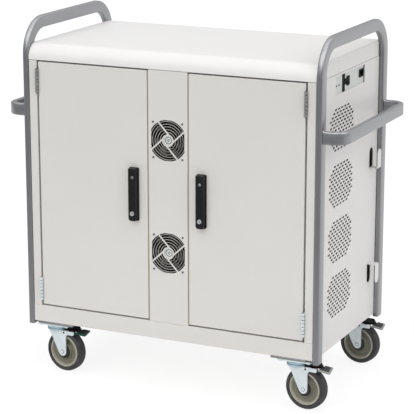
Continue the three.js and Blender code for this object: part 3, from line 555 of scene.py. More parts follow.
def moulded(name, colour, lighter, roughness, grain=900.0, shine=0.3):
    """Moulded plastic: a fine spark-eroded grain, slight flow marks, edges rubbed lighter."""
    material, surface, place = new_finish(name)
    fine = noise(place, grain, 3.0, 0.6)
    flow = noise(place, 14.0, 3.0, 0.55)
    worn = place.node("Attribute", {"attribute_name": "worn"}, out="Fac")
    tone = flow.ramp(0.35, 0.8) * 0.4 + fine * 0.15 + worn * 0.45
    looks = {
        "Base Color": tone.between(colour, lighter),
        "Roughness": fine * 0.16 + flow * 0.1 + (roughness - 0.13),
        "Normal": bump(fine, 0.16, 0.0003),
        "Specular IOR Level": shine,
    }
    dress(surface, looks)
    return material


black_plastic = moulded("black_plastic", screen(20, 20, 21), screen(46, 46, 48), 0.5)
# A tan colour for strips in the door gaps: painted shade, standing in for the brownish shade seen in those gaps.
gap_painted_shade = moulded("gap_painted_shade", screen(158, 144, 116), screen(176, 162, 134), 0.8, 400.0, shine=0.1)

# Tan strips set behind the door gaps beside the column: painted shade in the gaps.
bm = blank()
for side, hand in HANDS:
    part = blank()
    rounded(part, 2.9, 728.0, 0.6, (side * 62.85, 574.2), 3)
    fill(part)
    thicken(part, 11.0)
    settle(bm, part, facing((0, -249.6, 0), (1, 0, 0), UP))
piece("column_gap_shade_strips", bm, [gap_painted_shade], "cabinet")

screw_zinc = moulded("screw_zinc", screen(92, 100, 108), screen(126, 134, 142), 0.4)

bm = blank()
for name, height in FANS:
    for across in (-45.5, 45.5):
        for rise in (-51.0, 51.0):
            cross_screw(bm, facing((across, FRONT, height + rise), (1, 0, 0), UP), 3.2)
piece("fan_screws", bm, [screw_zinc], "cabinet")


# Cooling fans
# Two square axial fans screwed behind the windows: a moulded frame with its motor on four struts, an impeller of
# seven twisted blades with a plain label on its hub, and a finger guard of thin wire rings in front.
def turned(bm, profile, place, steps=32, coat=0):
    """A profile of radius and height turned about the board's z."""
    part = blank()
    chain(part, [(radius, 0.0, height) for radius, height in profile])
    bmesh.ops.spin(
        part, geom=part.verts[:] + part.edges[:], cent=(0, 0, 0), axis=(0, 0, 1), dvec=(0, 0, 0),
        angle=2 * math.pi, steps=steps, use_merge=True, use_duplicate=False,
    )
    settle(bm, part, place, coat)


def slab(bm, part, thickness, place, front=0.0, back=0.0, steps=3, coat=0):
    """A drawn outline as a flat piece of a thickness, with its front and back edges rounded."""
    bmesh.ops.edgeloop_fill(part, edges=part.edges[:])
    thicken(part, thickness)
    bmesh.ops.recalc_face_normals(part, faces=part.faces)
    for level, width in ((0.0, front), (-thickness, back)):
        edges = [e for e in part.edges if all(abs(v.co.z - level) < 1e-4 for v in e.verts)]
        if width:
            soften(part, edges, width, steps)
    settle(bm, part, place, coat)


def steel_wire(name, colour, bright, roughness, scale, metal=1.0):
    """Plated steel: bright, with fine drawn marks and cloudy patches in the plating."""
    material, surface, place = new_finish(name)
    cloud = noise(place, scale, 4.0, 0.6)
    fine = noise(place, 1400.0)
    worn = place.node("Attribute", {"attribute_name": "worn"}, out="Fac")
    tone = cloud.ramp(0.3, 0.75) * 0.75 + worn * 0.25
    looks = {
        "Base Color": tone.between(colour, bright),
        "Metallic": metal,
        "Roughness": cloud * 0.16 + fine * 0.08 + (roughness - 0.12),
        "Normal": bump(fine, 0.05, 0.0002),
    }
    dress(surface, looks)
    return material


guard_wire = steel_wire("guard_wire", screen(206, 203, 198), screen(228, 225, 220), 0.34, 60.0, 0.15)
label_foil = moulded("label_foil", screen(226, 227, 228), screen(240, 240, 240), 0.45, 300.0)
fan_plastic = moulded("fan_plastic", screen(9, 9, 10), screen(22, 22, 23), 0.55, shine=0.12)
FAN_FRONT, FAN_BACK = -250.2, -225.2

for name, height in FANS:
    board = facing((0, 0, height), (1, 0, 0), UP)
    bm = blank()
    part = blank()
    rounded(part, 118.8, 118.8, 5, steps=4)
    rounded(part, 112, 112, 56, steps=12)
    for across in (-45.5, 45.5):
        for rise in (-51.0, 51.0):
            rounded(part, 4.6, 4.6, 2.3, (across, rise), 3)
    fill(part)
    thicken(part, FAN_BACK - FAN_FRONT)
    settle(bm, part, Matrix.Translation((0, FAN_FRONT, 0)) @ board)
    for turn in (0, 90, 180, 270):
        part = blank()
        box_ring(part, 16, 57.5, -2.6, 2.6)
        spin = Matrix.Rotation(math.radians(turn), 4, "Z")
        slab(bm, part, 4.0, Matrix.Translation((0, FAN_BACK - 4.0, 0)) @ board @ spin, 1.2, 0.4, 2)
    motor = [(0, -4), (19.5, -4), (20, -3.5), (20, -0.8), (19.2, 0), (0, 0)]
    turned(bm, motor, Matrix.Translation((0, FAN_BACK - 4.0, 0)) @ board, 40)
    turned(bm, [(0, -17), (2.5, -17), (2.5, 0), (0, 0)], Matrix.Translation((0, FAN_BACK - 21, 0)) @ board, 12)
    piece(name + "_fan_housing", bm, [fan_plastic], "cabinet", [name + "_fan_frame"])

    bm = blank()
    hub = [(3.0, -16.3), (19.4, -16.3), (20, -15.6), (20, -2.4), (19.2, -0.7), (17.4, 0), (16.4, 0), (16.2, -0.5)]
    hub += [(0.0, -0.5), (0.0, -8.0), (3.0, -8.0), (3.0, -16.3)]
    turned(bm, hub, Matrix.Translation((0, -247.1, 0)) @ board, 40)
    for i in range(7):
        part = blank()
        bmesh.ops.create_grid(part, x_segments=8, y_segments=5, size=0.5)
        for v in part.verts:
            out, chord = v.co.x + 0.5, v.co.y
            radius = 19.0 + 33.8 * out
            pitch = math.radians(48.0 - 20.0 * out)
            width = 17.0 + 13.0 * out
            cup = 2.2 * (0.25 - chord * chord)
            sweep = math.radians(14.0) * out * out + chord * width * math.cos(pitch) / radius
            v.co = (radius * math.cos(sweep), radius * math.sin(sweep), chord * width * math.sin(pitch) + cup)
        bmesh.ops.recalc_face_normals(part, faces=part.faces)
        bmesh.ops.solidify(part, geom=part.faces[:], thickness=1.5)
        spin = Matrix.Rotation(2 * math.pi * i / 7, 4, "Z")
        settle(bm, part, Matrix.Translation((0, -238.9, 0)) @ board @ spin)
    piece(name + "_fan_blades", bm, [fan_plastic], name + "_fan", [name + "_fan_impeller"])

    bm = blank()
    face = Matrix.Translation((0, -247.1, 0)) @ board
    turned(bm, [(0, -0.45), (15.6, -0.45), (15.8, -0.3), (0, -0.2)], face, 40)
    turned(bm, [(8.6, -0.25), (8.6, -0.1), (10.4, -0.1), (10.4, -0.25), (8.6, -0.25)], face, 32, 1)
    for rise, length in ((2.6, 9.0), (-0.4, 11.0), (-3.4, 7.0)):
        part = blank()
        box_ring(part, -length / 2, length / 2, rise - 0.7, rise + 0.7)
        slab(bm, part, 0.15, face @ Matrix.Translation((0, 0, -0.1)), coat=1)
    piece(name + "_fan_label", bm, [label_foil, fan_plastic], name + "_fan")

    bm = blank()
    for radius in (24.0, 32.0, 40.0, 47.6, 55.2):
        part = blank()
        rounded(part, 1.1, 1.1, 0.55, (radius, 0.0), 2)
        bmesh.ops.rotate(part, cent=(0, 0, 0), matrix=Matrix.Rotation(math.pi / 2, 3, "X"), verts=part.verts)
        bmesh.ops.spin(
            part, geom=part.verts[:] + part.edges[:], cent=(0, 0, 0), axis=(0, 0, 1), dvec=(0, 0, 0),
            angle=2 * math.pi, steps=48, use_merge=True, use_duplicate=False,
        )
        settle(bm, part, Matrix.Translation((0, -250.8, 0)) @ board)
    piece(name + "_guard_wires", bm, [guard_wire], "cabinet")


# Power bay wall
# A flat steel sheet that closes the laptop bays at the back, with a long slot in each bay for the charging leads.
bm = blank()
part = blank()
box_ring(part, -447, 447, 156.8, 938.4)
for side, hand in HANDS:
    rounded(part, 60, 630, 8, (side * 254.35, 565.0), 4)
fill(part)
thicken(part, SHEET)
settle(bm, part, facing((0, 128.0, 0), (1, 0, 0), UP))
piece("bay_wall_sheet", bm, [cabinet_paint], "cabinet", ["power_bay_wall"])


# Laptop racks
# Four moulded trays, two in each bay, with four upright dividers that make five places for laptops on edge.
# The upper tray has a lip folded down at the front.
rack_plastic = moulded("rack_plastic", screen(196, 199, 195), screen(214, 216, 212), 0.5, 500.0)
for side, hand in HANDS:
    for level, base in (("lower", 156.8), ("upper", 552.8)):
        bm = blank()
        part = blank()
        rounded(part, 385.5, 322, 4, (side * 254.35, -55.0), 3)
        slab(bm, part, SHEET, facing((0, 0, base + SHEET), (1, 0, 0), (0, 1, 0)), 0.5, 0.4, 2)
        if level == "upper":
            part = blank()
            rounded(part, 385.5, 21.4, 3, (side * 254.35, base - 9.3), 3)
            slab(bm, part, SHEET, facing((0, -216.0, 0), (1, 0, 0), UP), 0.6, 0.4, 2)
        for x in (138.6, 215.8, 292.9, 370.1):
            part = blank()
            rounded(part, 294, 190, 26, (-55.0, base + 95.0), 6, foot=2.0)
            slab(bm, part, 2.0, facing((side * x + 1.0, 0, 0), (0, 1, 0), UP), 0.8, 0.8, 2)
        name = hand + "_" + level
        piece(name + "_tray", bm, [rack_plastic], "cabinet", [name + "_rack"])


# Outlet strips
# Two moulded sockets strips fixed high on the back of the power bay wall, with six outlets each.
for side, hand in HANDS:
    bm = blank()
    part = blank()
    rounded(part, 39.8, 36.8, 5.5, (149.8, 911.5), 4)
    slab(bm, part, 340, facing((side * 254.35 + 170, 0, 0), (0, 1, 0), UP), 2.0, 2.0, 3)
    for i in range(6):
        at = side * 254.35 + (i - 2.5) * 54
        part = blank()
        rounded(part, 38, 26, 4, (0.0, 0.0), 3)
        rounded(part, 2.6, 9, 1.0, (-7.0, 2.0), 2)
        rounded(part, 2.6, 9, 1.0, (7.0, 2.0), 2)
        rounded(part, 5, 5, 2.5, (0.0, -7.0), 3)
        fill(part)
        thicken(part, 3.0)
        settle(bm, part, facing((at, 169.7, 911.5), (-1, 0, 0), UP), 1)
    finishes = [black_plastic, fan_plastic]
    piece(hand + "_socket_strip", bm, finishes, "cabinet", [hand + "_outlet_strip"])


# Power panel
# A shallow painted pan behind the opening in the right side. It carries the mains inlet with its three pins, the
# rocker switch in a snap-in frame and a tall slot with a black edging.
def block(bm, low, high, soft, steps=2, coat=0):
    """A bar or plate between two corners, with its edges rounded."""
    part = blank()
    bmesh.ops.create_cube(part, size=1.0)
    low, high = Vector(low), Vector(high)
    size = Vector((abs(a - b) for a, b in zip(low, high)))
    bmesh.ops.scale(part, vec=size, verts=part.verts)
    bmesh.ops.translate(part, vec=(low + high) / 2, verts=part.verts)
    soften(part, part.edges[:], soft, steps)
    settle(bm, part, None, coat)


panel_paint = powder_coat("panel_paint", screen(200, 203, 200), screen(189, 192, 188), 0.45)
pin_steel = steel_wire("pin_steel", screen(176, 178, 182), screen(212, 214, 217), 0.3, 40.0, 0.45)
PAN_FLOOR, DEVICE_X = 445.0, 447.3
PAN_Y, PAN_Z, INLET_Z = -1.0, 910.0, 914.6
INLET_Y, SWITCH_Y, SLIT_Y = 92.6, -14.0, -49.0

bm = blank()
part = blank()
box_ring(part, PAN_Y - 116, PAN_Y + 113.4, PAN_Z - 26, PAN_Z + 26)
rounded(part, 26, 17, 1.5, (INLET_Y, INLET_Z), 3)
rounded(part, 16.6, 24.6, 1.0, (SWITCH_Y, PAN_Z), 3)
rounded(part, 11.6, 44, 1.5, (SLIT_Y, PAN_Z), 3)
fill(part)
thicken(part, SHEET)
board = facing((PAN_FLOOR, 0, 0), (0, 1, 0), UP)
settle(bm, part, board)
part = blank()
wall = box_ring(part, PAN_Y - 116, PAN_Y + 116, PAN_Z - 26, PAN_Z + 26)
grown = bmesh.ops.extrude_edge_only(part, edges=wall)["geom"]
bmesh.ops.translate(part, vec=(0, 0, 2.3), verts=[v for v in grown if isinstance(v, bmesh.types.BMVert)])
bmesh.ops.recalc_face_normals(part, faces=part.faces)
bmesh.ops.reverse_faces(part, faces=part.faces)
bmesh.ops.solidify(part, geom=part.faces[:], thickness=SHEET)
settle(bm, part, board)
piece("power_pan", bm, [panel_paint], "cabinet", ["power_panel"])

bm = blank()
for y in (-103.0, -83.0):
    cross_screw(bm, facing((PAN_FLOOR, y, PAN_Z - 2.0), (0, 1, 0), UP), 2.6)
piece("panel_screws", bm, [black_plastic], "cabinet")

bm = blank()
part = blank()
rounded(part, 36.6, 23.0, 3, (INLET_Y, INLET_Z), 4)
inlet = [(-12, 7.5), (-12, -3.6), (-8.4, -7.5), (8.4, -7.5), (12, -3.6), (12, 7.5)]
mouth = ring(part, [(INLET_Y + u, INLET_Z + v) for u, v in inlet])
fill(part)
thicken(part, 2.0)
board = facing((DEVICE_X, 0, 0), (0, 1, 0), UP)
settle(bm, part, board)
part = blank()
mouth = ring(part, [(INLET_Y + u, INLET_Z + v) for u, v in inlet])
grown = bmesh.ops.extrude_edge_only(part, edges=mouth)["geom"]
deep = [v for v in grown if isinstance(v, bmesh.types.BMVert)]
bmesh.ops.translate(part, vec=(0, 0, -16.8), verts=deep)
bmesh.ops.edgeloop_fill(part, edges=[e for e in grown if isinstance(e, bmesh.types.BMEdge)])
bmesh.ops.recalc_face_normals(part, faces=part.faces)
bmesh.ops.solidify(part, geom=part.faces[:], thickness=-1.0)
bmesh.ops.translate(part, vec=(0, 0, -0.4), verts=part.verts)
settle(bm, part, board)
piece("inlet_body", bm, [fan_plastic], "cabinet", ["mains_inlet"])

bm = blank()
for u, v in ((-6.4, -1.4), (6.4, -1.4), (0.0, 2.8)):
    part = blank()
    rounded(part, 1.9, 4.2, 0.6, (INLET_Y + u, INLET_Z + v), 3)
    slab(bm, part, 7.5, facing((DEVICE_X - 9, 0, 0), (0, 1, 0), UP), 0.5, 0.0, 2)
piece("inlet_pins", bm, [pin_steel], "cabinet")

bm = blank()
part = blank()
rounded(part, 22, 27, 2.5, (SWITCH_Y, PAN_Z), 4)
rounded(part, 14.6, 22.6, 1.0, (SWITCH_Y, PAN_Z), 4)
fill(part)
thicken(part, 11.0)
settle(bm, part, facing((DEVICE_X, 0, 0), (0, 1, 0), UP))
piece("switch_frame", bm, [fan_plastic], "cabinet", ["switch_housing"])

bm = blank()
part = blank()
ring(part, [(-4, -9.6), (4, -9.6), (3.2, -5), (2.4, 0), (3.2, 5), (4, 9.6), (-4, 9.6)])
board = facing((0, -6.6, 0), (1, 0, 0), UP)
slab(bm, part, 13.2, board, 0.6, 0.6, 2)
tilt = Matrix.Translation((PAN_FLOOR, SWITCH_Y, PAN_Z)) @ Matrix.Rotation(math.radians(-6), 4, "Y")
bmesh.ops.transform(bm, matrix=tilt, verts=bm.verts)
piece("switch_rocker", bm, [fan_plastic], "rocker", ["rocker_switch"])

bm = blank()
part = blank()
rounded(part, 17.0, 51.4, 2.5, (SLIT_Y, PAN_Z), 3)
rounded(part, 12.6, 46, 1.5, (SLIT_Y, PAN_Z), 3)
fill(part)
thicken(part, 2.0)
settle(bm, part, facing((DEVICE_X - 0.5, 0, 0), (0, 1, 0), UP))
part = blank()
rounded(part, 17.0, 51.4, 2.5, (SLIT_Y, PAN_Z), 3)
slab(bm, part, 2.0, facing((PAN_FLOOR + 0.6, 0, 0), (0, 1, 0), UP), 0.4, 0.4, 2)
block(bm, (PAN_FLOOR, SLIT_Y + 8, PAN_Z - 8), (DEVICE_X - 1, SWITCH_Y - 10.8, PAN_Z + 9), 0.5)
piece("slit_liner", bm, [fan_plastic], "cabinet")


# Worktop lid
# A pressed steel lid: a round front edge, a smaller one at the back, turned-in lips underneath, and ends that
# stand out flush with the side panels between the posts. Its body is coated whiter than the cabinet, which is
# painted light standing in for the stronger light on its top; its ends keep the cabinet's darker coat.
lid_paint = powder_coat("lid_paint", screen(228, 227, 226), screen(222, 221, 219), 0.4)
LID_TOP = 988.0
LID_LOW = SEAM + 0.9


def lid_body(part, start, end):
    edges = chain(part, [(start, BACK, LID_LOW), (start, BACK, LID_TOP), (start, FRONT, LID_TOP), (start, FRONT, LID_LOW)])
    edges += [part.edges.new((edges[-1].verts[1], edges[0].verts[0]))]
    bmesh.ops.edgeloop_fill(part, edges=edges)
    grown = bmesh.ops.extrude_face_region(part, geom=part.faces[:])["geom"]
    bmesh.ops.translate(
        part, vec=(end - start, 0, 0), verts=[v for v in grown if isinstance(v, bmesh.types.BMVert)],
    )
    for y, radius, steps in ((FRONT, 40.0, 26), (BACK, 22.0, 14)):
        noses = [
            e for e in part.edges
            if all(abs(v.co.y - y) < 0.01 and abs(v.co.z - LID_TOP) < 0.01 for v in e.verts)
        ]
        bmesh.ops.bevel(
            part, geom=noses, offset=radius, offset_type="OFFSET", segments=steps, profile=0.5, affect="EDGES",
            material=-1,
        )
    bmesh.ops.recalc_face_normals(part, faces=part.faces)


bm = blank()
part = blank()
lid_body(part, -INNER, INNER)
under = [f for f in part.faces if f.normal.z < -0.9]
bmesh.ops.inset_region(part, faces=under, thickness=32.0, use_even_offset=True)
hollow = bmesh.ops.extrude_face_region(part, geom=under)["geom"]
bmesh.ops.translate(part, vec=(0, 0, 42.0), verts=[v for v in hollow if isinstance(v, bmesh.types.BMVert)])
bmesh.ops.delete(part, geom=under, context="FACES")
settle(bm, part)
for side, hand in HANDS:
    part = blank()
    lid_body(part, side * INNER, side * PANEL_X)
    for y, way in ((-213.3, -1), (229.3, 1)):
        every = part.verts[:] + part.edges[:] + part.faces[:]
        cut = bmesh.ops.bisect_plane(
            part, geom=every, dist=1e-4, plane_co=(0, y, 0), plane_no=(0, way, 0), clear_outer=True,
        )["geom_cut"]
        bmesh.ops.edgeloop_fill(part, edges=[e for e in cut if isinstance(e, bmesh.types.BMEdge)])
    bmesh.ops.recalc_face_normals(part, faces=part.faces)
    rims = [
        e for e in part.edges
        if all(abs(abs(v.co.x) - PANEL_X) < 0.01 for v in e.verts) and e.verts[0].co.z + e.verts[1].co.z > 1900
    ]
    soften(part, rims, 1.4, 3)
    # The ends take the cabinet's coat, darker than the lid's own: painted shade on the ends, against the painted light
    # on the top.
    settle(bm, part, None, 1)
piece("lid_shell", bm, [lid_paint, cabinet_paint], "cabinet", ["lid"])


# End frames
# Flat-oval steel tube bent into an arch over each end of the worktop and painted silver, with plastic plugs in
# its feet. A flat foot rail welded across between the posts carries two casters.
def silver_coat(name):
    """Silver paint: fine metal flake under a thin clear coat, with faint rubbing marks."""
    material, surface, place = new_finish(name)
    flake = noise(place, 2600.0)
    drift = noise(place, 5.0, 3.0, 0.6)
    rub = noise(place, 90.0, 4.0, 0.7).ramp(0.6, 0.75)
    worn = place.node("Attribute", {"attribute_name": "worn"}, out="Fac")
    tone = flake * 0.3 + drift.ramp(0.3, 0.8) * 0.4 + rub * 0.1 + worn * 0.2
    looks = {
        "Base Color": tone.between(screen(146, 147, 150), screen(162, 163, 165)),
        "Metallic": 0.82,
        "Roughness": flake * 0.1 + drift * 0.08 + rub * 0.06 + 0.24,
        "Normal": bump(flake, 0.06, 0.0002),
        "Coat Weight": 0.15,
        "Coat Roughness": 0.2,
    }
    dress(surface, looks)
    return material


def bent_tube(bm, section, moves, coat=0):
    """A tube section led along straight runs and round bends."""
    first = section.edges[:]
    edges = first
    for kind, *move in moves:
        if kind == "run":
            grown = bmesh.ops.extrude_edge_only(section, edges=edges)["geom"]
            bmesh.ops.translate(section, vec=move[0], verts=[v for v in grown if isinstance(v, bmesh.types.BMVert)])
        else:
            centre, axis, angle = move
            grown = bmesh.ops.spin(
                section, geom=edges, cent=centre, axis=axis, dvec=(0, 0, 0), angle=math.radians(angle), steps=16,
                use_merge=False, use_duplicate=False,
            )["geom_last"]
        edges = [e for e in grown if isinstance(e, bmesh.types.BMEdge)]
    for end in (first, edges):
        bmesh.ops.edgeloop_fill(section, edges=end)
    settle(bm, section, None, coat)


silver_paint = silver_coat("silver_paint")
TUBE_WIDE, TUBE_DEEP, TUBE_ROUND = 17.4, 36.0, 5.0
POST_X = 454.5
POST_FRONT, POST_BACK = -237.8, 253.8
ARCH_Z, ARCH_BEND = 1040.4, 85.0
for side, hand in HANDS:
    bm = blank()
    tube = blank()
    rounded(tube, TUBE_WIDE, TUBE_DEEP, TUBE_ROUND, steps=5)
    start = facing((side * POST_X, POST_FRONT, 145.6), (1, 0, 0), (0, 1, 0))
    bmesh.ops.transform(tube, matrix=start, verts=tube.verts)
    spring = ARCH_Z - ARCH_BEND
    moves = [
        ("run", (0, 0, spring - 145.6)),
        ("bend", (0, POST_FRONT + ARCH_BEND, spring), (1, 0, 0), -90.0),
        ("run", (0, POST_BACK - POST_FRONT - 2 * ARCH_BEND, 0)),
        ("bend", (0, POST_BACK - ARCH_BEND, spring), (1, 0, 0), -90.0),
        ("run", (0, 0, 145.6 - spring)),
    ]
    bent_tube(bm, tube, moves)
    for y in (POST_FRONT, POST_BACK):
        part = blank()
        rounded(part, TUBE_WIDE - 1.4, TUBE_DEEP - 1.4, TUBE_ROUND - 0.7, (side * POST_X, y), 5)
        slab(bm, part, 3.0, facing((0, 0, 148.0), (1, 0, 0), (0, 1, 0)), 0.3, 0.9, 2, 1)
    rail_z = (148.7, 154.7)
    block(bm, (side * 318, FRONT, rail_z[0]), (side * 425, BACK, rail_z[1]), 1.2, 3)
    for y in (POST_FRONT, POST_BACK):
        block(bm, (side * 420, y - 5.5, rail_z[0]), (side * 450, y + 5.5, rail_z[1]), 0.8)
    piece(hand + "_frame_tube", bm, [silver_paint, black_plastic], "cabinet", [hand + "_end_frame"])


# Push handles
# The same tube laid flat at hip height, bent round from the front post to the rear post and welded to both.
HANDLE_X, HANDLE_Z, HANDLE_BEND = 521.2, 791.5, 34.0
WELD_X = 463.4
for side, hand in HANDS:
    bm = blank()
    tube = blank()
    rounded(tube, TUBE_WIDE, TUBE_DEEP, TUBE_ROUND, steps=5)
    start = facing((side * WELD_X, POST_FRONT, HANDLE_Z), (0, 1, 0), UP)
    bmesh.ops.transform(tube, matrix=start, verts=tube.verts)
    turn_x = side * (HANDLE_X - HANDLE_BEND)
    moves = [
        ("run", (side * 3.0, 0, 0)),
        ("run", (turn_x - side * (WELD_X + 3.0), 0, 0)),
        ("bend", (turn_x, POST_FRONT + HANDLE_BEND, HANDLE_Z), (0, 0, side), 90.0),
        ("run", (0, POST_BACK - POST_FRONT - 2 * HANDLE_BEND, 0)),
        ("bend", (turn_x, POST_BACK - HANDLE_BEND, HANDLE_Z), (0, 0, side), 90.0),
        ("run", (side * (WELD_X + 3.0) - turn_x, 0, 0)),
        ("run", (side * -3.0, 0, 0)),
    ]
    bent_tube(bm, tube, moves)
    for y in (POST_FRONT, POST_BACK):
        foot = [v for v in bm.verts if abs(abs(v.co.x) - WELD_X) < 0.01 and abs(v.co.y - y) < 20]
        around = Matrix.Translation((0, -y, -HANDLE_Z))
        bmesh.ops.scale(bm, vec=(1, 1.16, 1.1), space=around, verts=foot)
    piece(hand + "_push_bar", bm, [silver_paint], "cabinet", [hand + "_push_handle"])


# Front doors
# Folded steel pans coated like the cabinet, with lips turned in behind. The door halves of two butt hinges are
# welded to the outer edge of each; the frame halves, with the pins, are welded to the stile.
zinc = steel_wire("zinc_plate", screen(211, 221, 224), screen(228, 236, 238), 0.4, 34.0, 0.25)
# A darker copy of the zinc plating for the upper hinges: painted shade under the lid. It also plates the caster axle
# washers.
hinge_zinc = steel_wire("hinge_zinc", screen(136, 140, 138), screen(166, 170, 167), 0.36, 50.0, 0.45)
# Near-black hinge pins: painted shade in the gaps between the knuckles.
pin_painted_shade = steel_wire("hinge_pin", screen(52, 52, 51), screen(74, 74, 72), 0.5, 50.0, 0.4)
DOOR_IN, DOOR_OUT = 64.9, 414.3
DOOR_LOW, DOOR_HIGH = 210.3, 938.2
HINGE_X, HINGE_Y = 416.8, -257.2
HINGES = (("upper", 846.4), ("lower", 222.6))
KNUCKLE = 72.0 / 7


def pan(bm, low, high, open_y):
    """A folded door pan, open on one face except for its lips."""
    part = blank()
    bmesh.ops.create_cube(part, size=1.0)
    low, high = Vector(low), Vector(high)
    bmesh.ops.scale(part, vec=high - low, verts=part.verts)
    bmesh.ops.translate(part, vec=(low + high) / 2, verts=part.verts)
    behind = [f for f in part.faces if abs(f.calc_center_median().y - open_y) < 0.01]
    bmesh.ops.inset_region(part, faces=behind, thickness=14.0, use_even_offset=True)
    bmesh.ops.delete(part, geom=behind, context="FACES")
    bmesh.ops.recalc_face_normals(part, faces=part.faces)
    folds = [e for e in part.edges if len(e.link_faces) == 2 and e.calc_face_angle() > 1.0]
    soften(part, folds, 2.0, 4)
    bmesh.ops.recalc_face_normals(part, faces=part.faces)
    bmesh.ops.solidify(part, geom=part.faces[:], thickness=SHEET)
    settle(bm, part)


def knuckle(bm, side, low, index, coat=0):
    foot = low + index * KNUCKLE + 1.1
    tall = KNUCKLE - 2.2
    barrel = [(1.9, 0.0), (4.5, 0.0), (5.0, 0.6), (5.0, tall - 0.6), (4.5, tall), (1.9, tall), (1.9, 0.0)]
    turned(bm, barrel, facing((side * HINGE_X, HINGE_Y, foot), (1, 0, 0), (0, 1, 0)), 24, coat)
    return foot, foot + tall


for side, hand in HANDS:
    bm = blank()
    ends = sorted((side * DOOR_IN, side * DOOR_OUT))
    pan(bm, (ends[0], FRONT, DOOR_LOW), (ends[1], FRONT + 18, DOOR_HIGH), FRONT + 18)
    piece(hand + "_door_pan", bm, [cabinet_paint], hand + "_door", [hand + "_door"])

    bm = blank()
    # Coat 0, for the upper hinge, is the darker zinc: painted shade.
    for coat, (level, low) in enumerate(HINGES):
        for index in (1, 3, 5):
            foot, head = knuckle(bm, side, low, index, coat)
            block(bm, (side * 414.2, HINGE_Y, foot), (side * 416.1, FRONT + 1, head), 0.4, 2, coat)
        leaf = (side * 414.35, FRONT + 0.6, low + 10.6), (side * 416.1, FRONT + 17, low + 61.4)
        block(bm, *leaf, 0.4, 2, coat)
    piece(hand + "_door_knuckles", bm, [hinge_zinc, zinc], hand + "_door")

    for level, low in HINGES:
        bm = blank()
        for index in (0, 2, 4, 6):
            foot, head = knuckle(bm, side, low, index)
            block(bm, (side * 417.2, HINGE_Y, foot), (side * 419.4, FRONT + 1, head), 0.4)
        block(bm, (side * 417.4, FRONT + 0.6, low), (side * 419.4, FRONT + 20, low + 72), 0.4)
        pin = [(0, -0.9), (1.6, -0.9), (2.6, -0.4), (2.6, 0.0), (1.8, 0.0), (1.8, 72.0), (2.6, 72.0), (2.6, 72.4)]
        pin += [(1.6, 72.9), (0, 72.9)]
        # The pin takes the near-black coat: painted shade where it shows between the knuckles.
        turned(bm, pin, facing((side * HINGE_X, HINGE_Y, low), (1, 0, 0), (0, 1, 0)), 16, 1)
        node = hand + "_" + level + "_hinge"
        # The upper hinge takes the darker zinc and the lower one the pale zinc: painted shade on the upper hinge.
        plating = hinge_zinc if level == "upper" else zinc
        piece(node + "_leaf", bm, [plating, pin_painted_shade], "cabinet", [node])


# Latches
# A black moulded swing handle on each door: base plate, lever on a spindle held by a screw, and a lock cylinder
# standing out of the lever's foot. A plated tongue on the spindle behind the door holds it shut.
LATCH_X, LATCH_Z = 105.8, 579.0
PIVOT_Z, KEY_Z = 630.0, 524.0
latch_plastic = moulded("latch_plastic", screen(22, 21, 22), screen(40, 39, 41), 0.46, shine=0.22)
latch_steel = steel_wire("latch_steel", screen(128, 128, 130), screen(158, 158, 160), 0.42, 50.0, 0.5)


def lock_face(bm, place, radius, length, proud, coat=0):
    """A lock cylinder with a rolled rim and a keyway, its face on the board."""
    part = blank()
    rim = rounded(part, 1.5 * radius, 1.5 * radius, 0.75 * radius, steps=6)
    slit = rounded(part, 1.7, 0.95 * radius, 0.6, steps=2)
    fill(part)
    walls = bmesh.ops.extrude_edge_only(part, edges=slit)["geom"]
    bmesh.ops.translate(part, vec=(0, 0, -4), verts=[v for v in walls if isinstance(v, bmesh.types.BMVert)])
    bmesh.ops.edgeloop_fill(part, edges=[e for e in walls if isinstance(e, bmesh.types.BMEdge)])
    for spread, rise in ((1.03, 0.5), (1.12, 0.6), (1.08, -0.1), (1.065, -0.5), (1.0, -proud), (0.93, 0), (1, -length)):
        grown = bmesh.ops.extrude_edge_only(part, edges=rim)["geom"]
        lip = [v for v in grown if isinstance(v, bmesh.types.BMVert)]
        bmesh.ops.scale(part, vec=(spread, spread, 1), verts=lip)
        bmesh.ops.translate(part, vec=(0, 0, rise), verts=lip)
        rim = [e for e in grown if isinstance(e, bmesh.types.BMEdge)]
    bmesh.ops.edgeloop_fill(part, edges=rim)
    bmesh.ops.translate(part, vec=(0, 0, -1.1), verts=part.verts)
    settle(bm, part, place, coat)


for side, hand in HANDS:
    x = side * LATCH_X
    bm = blank()
    part = blank()
    rounded(part, 30, 156, 3.5, steps=4, foot=6.0)
    slab(bm, part, 5.0, facing((x, -257.3, LATCH_Z), (1, 0, 0), UP), 1.2, 0.3)
    piece(hand + "_latch_plate", bm, [latch_plastic], hand + "_door", [hand + "_latch_base"])

    bm = blank()
    part = blank()
    rounded(part, 25.4, 154, 2.6, steps=5, foot=8.0)
    slab(bm, part, 12.0, facing((x, -269.6, LATCH_Z), (1, 0, 0), UP), 2.2, 0.5, 4)
    spindle = [(0, -28), (5.4, -28), (6, -27.4), (6, 0.5), (0, 0.5)]
    turned(bm, spindle, facing((x, -257.6, PIVOT_Z), (1, 0, 0), UP), 24)
    piece(hand + "_latch_bar", bm, [latch_plastic], hand + "_latch", [hand + "_latch_lever"])

    bm = blank()
    cross_screw(bm, facing((x + 1.0, -268.6, PIVOT_Z), (1, 0, 0), UP), 4.4)
    piece(hand + "_latch_screw", bm, [latch_steel], hand + "_latch")

    bm = blank()
    lock_face(bm, facing((x, -271.5, KEY_Z), (1, 0, 0), UP), 6.5, 9.0, 2.0)
    piece(hand + "_key_barrel", bm, [pin_steel], hand + "_key", [hand + "_key_cylinder"])

    bm = blank()
    part = blank()
    rounded(part, 18, 64, 3.0, (x, 653.0), 4, foot=8.8)
    slab(bm, part, 3.0, facing((0, -232.0, 0), (1, 0, 0), UP), 0.5, 0.5, 2)
    piece(hand + "_latch_tongue", bm, [zinc], hand + "_latch", [hand + "_latch_cam"])


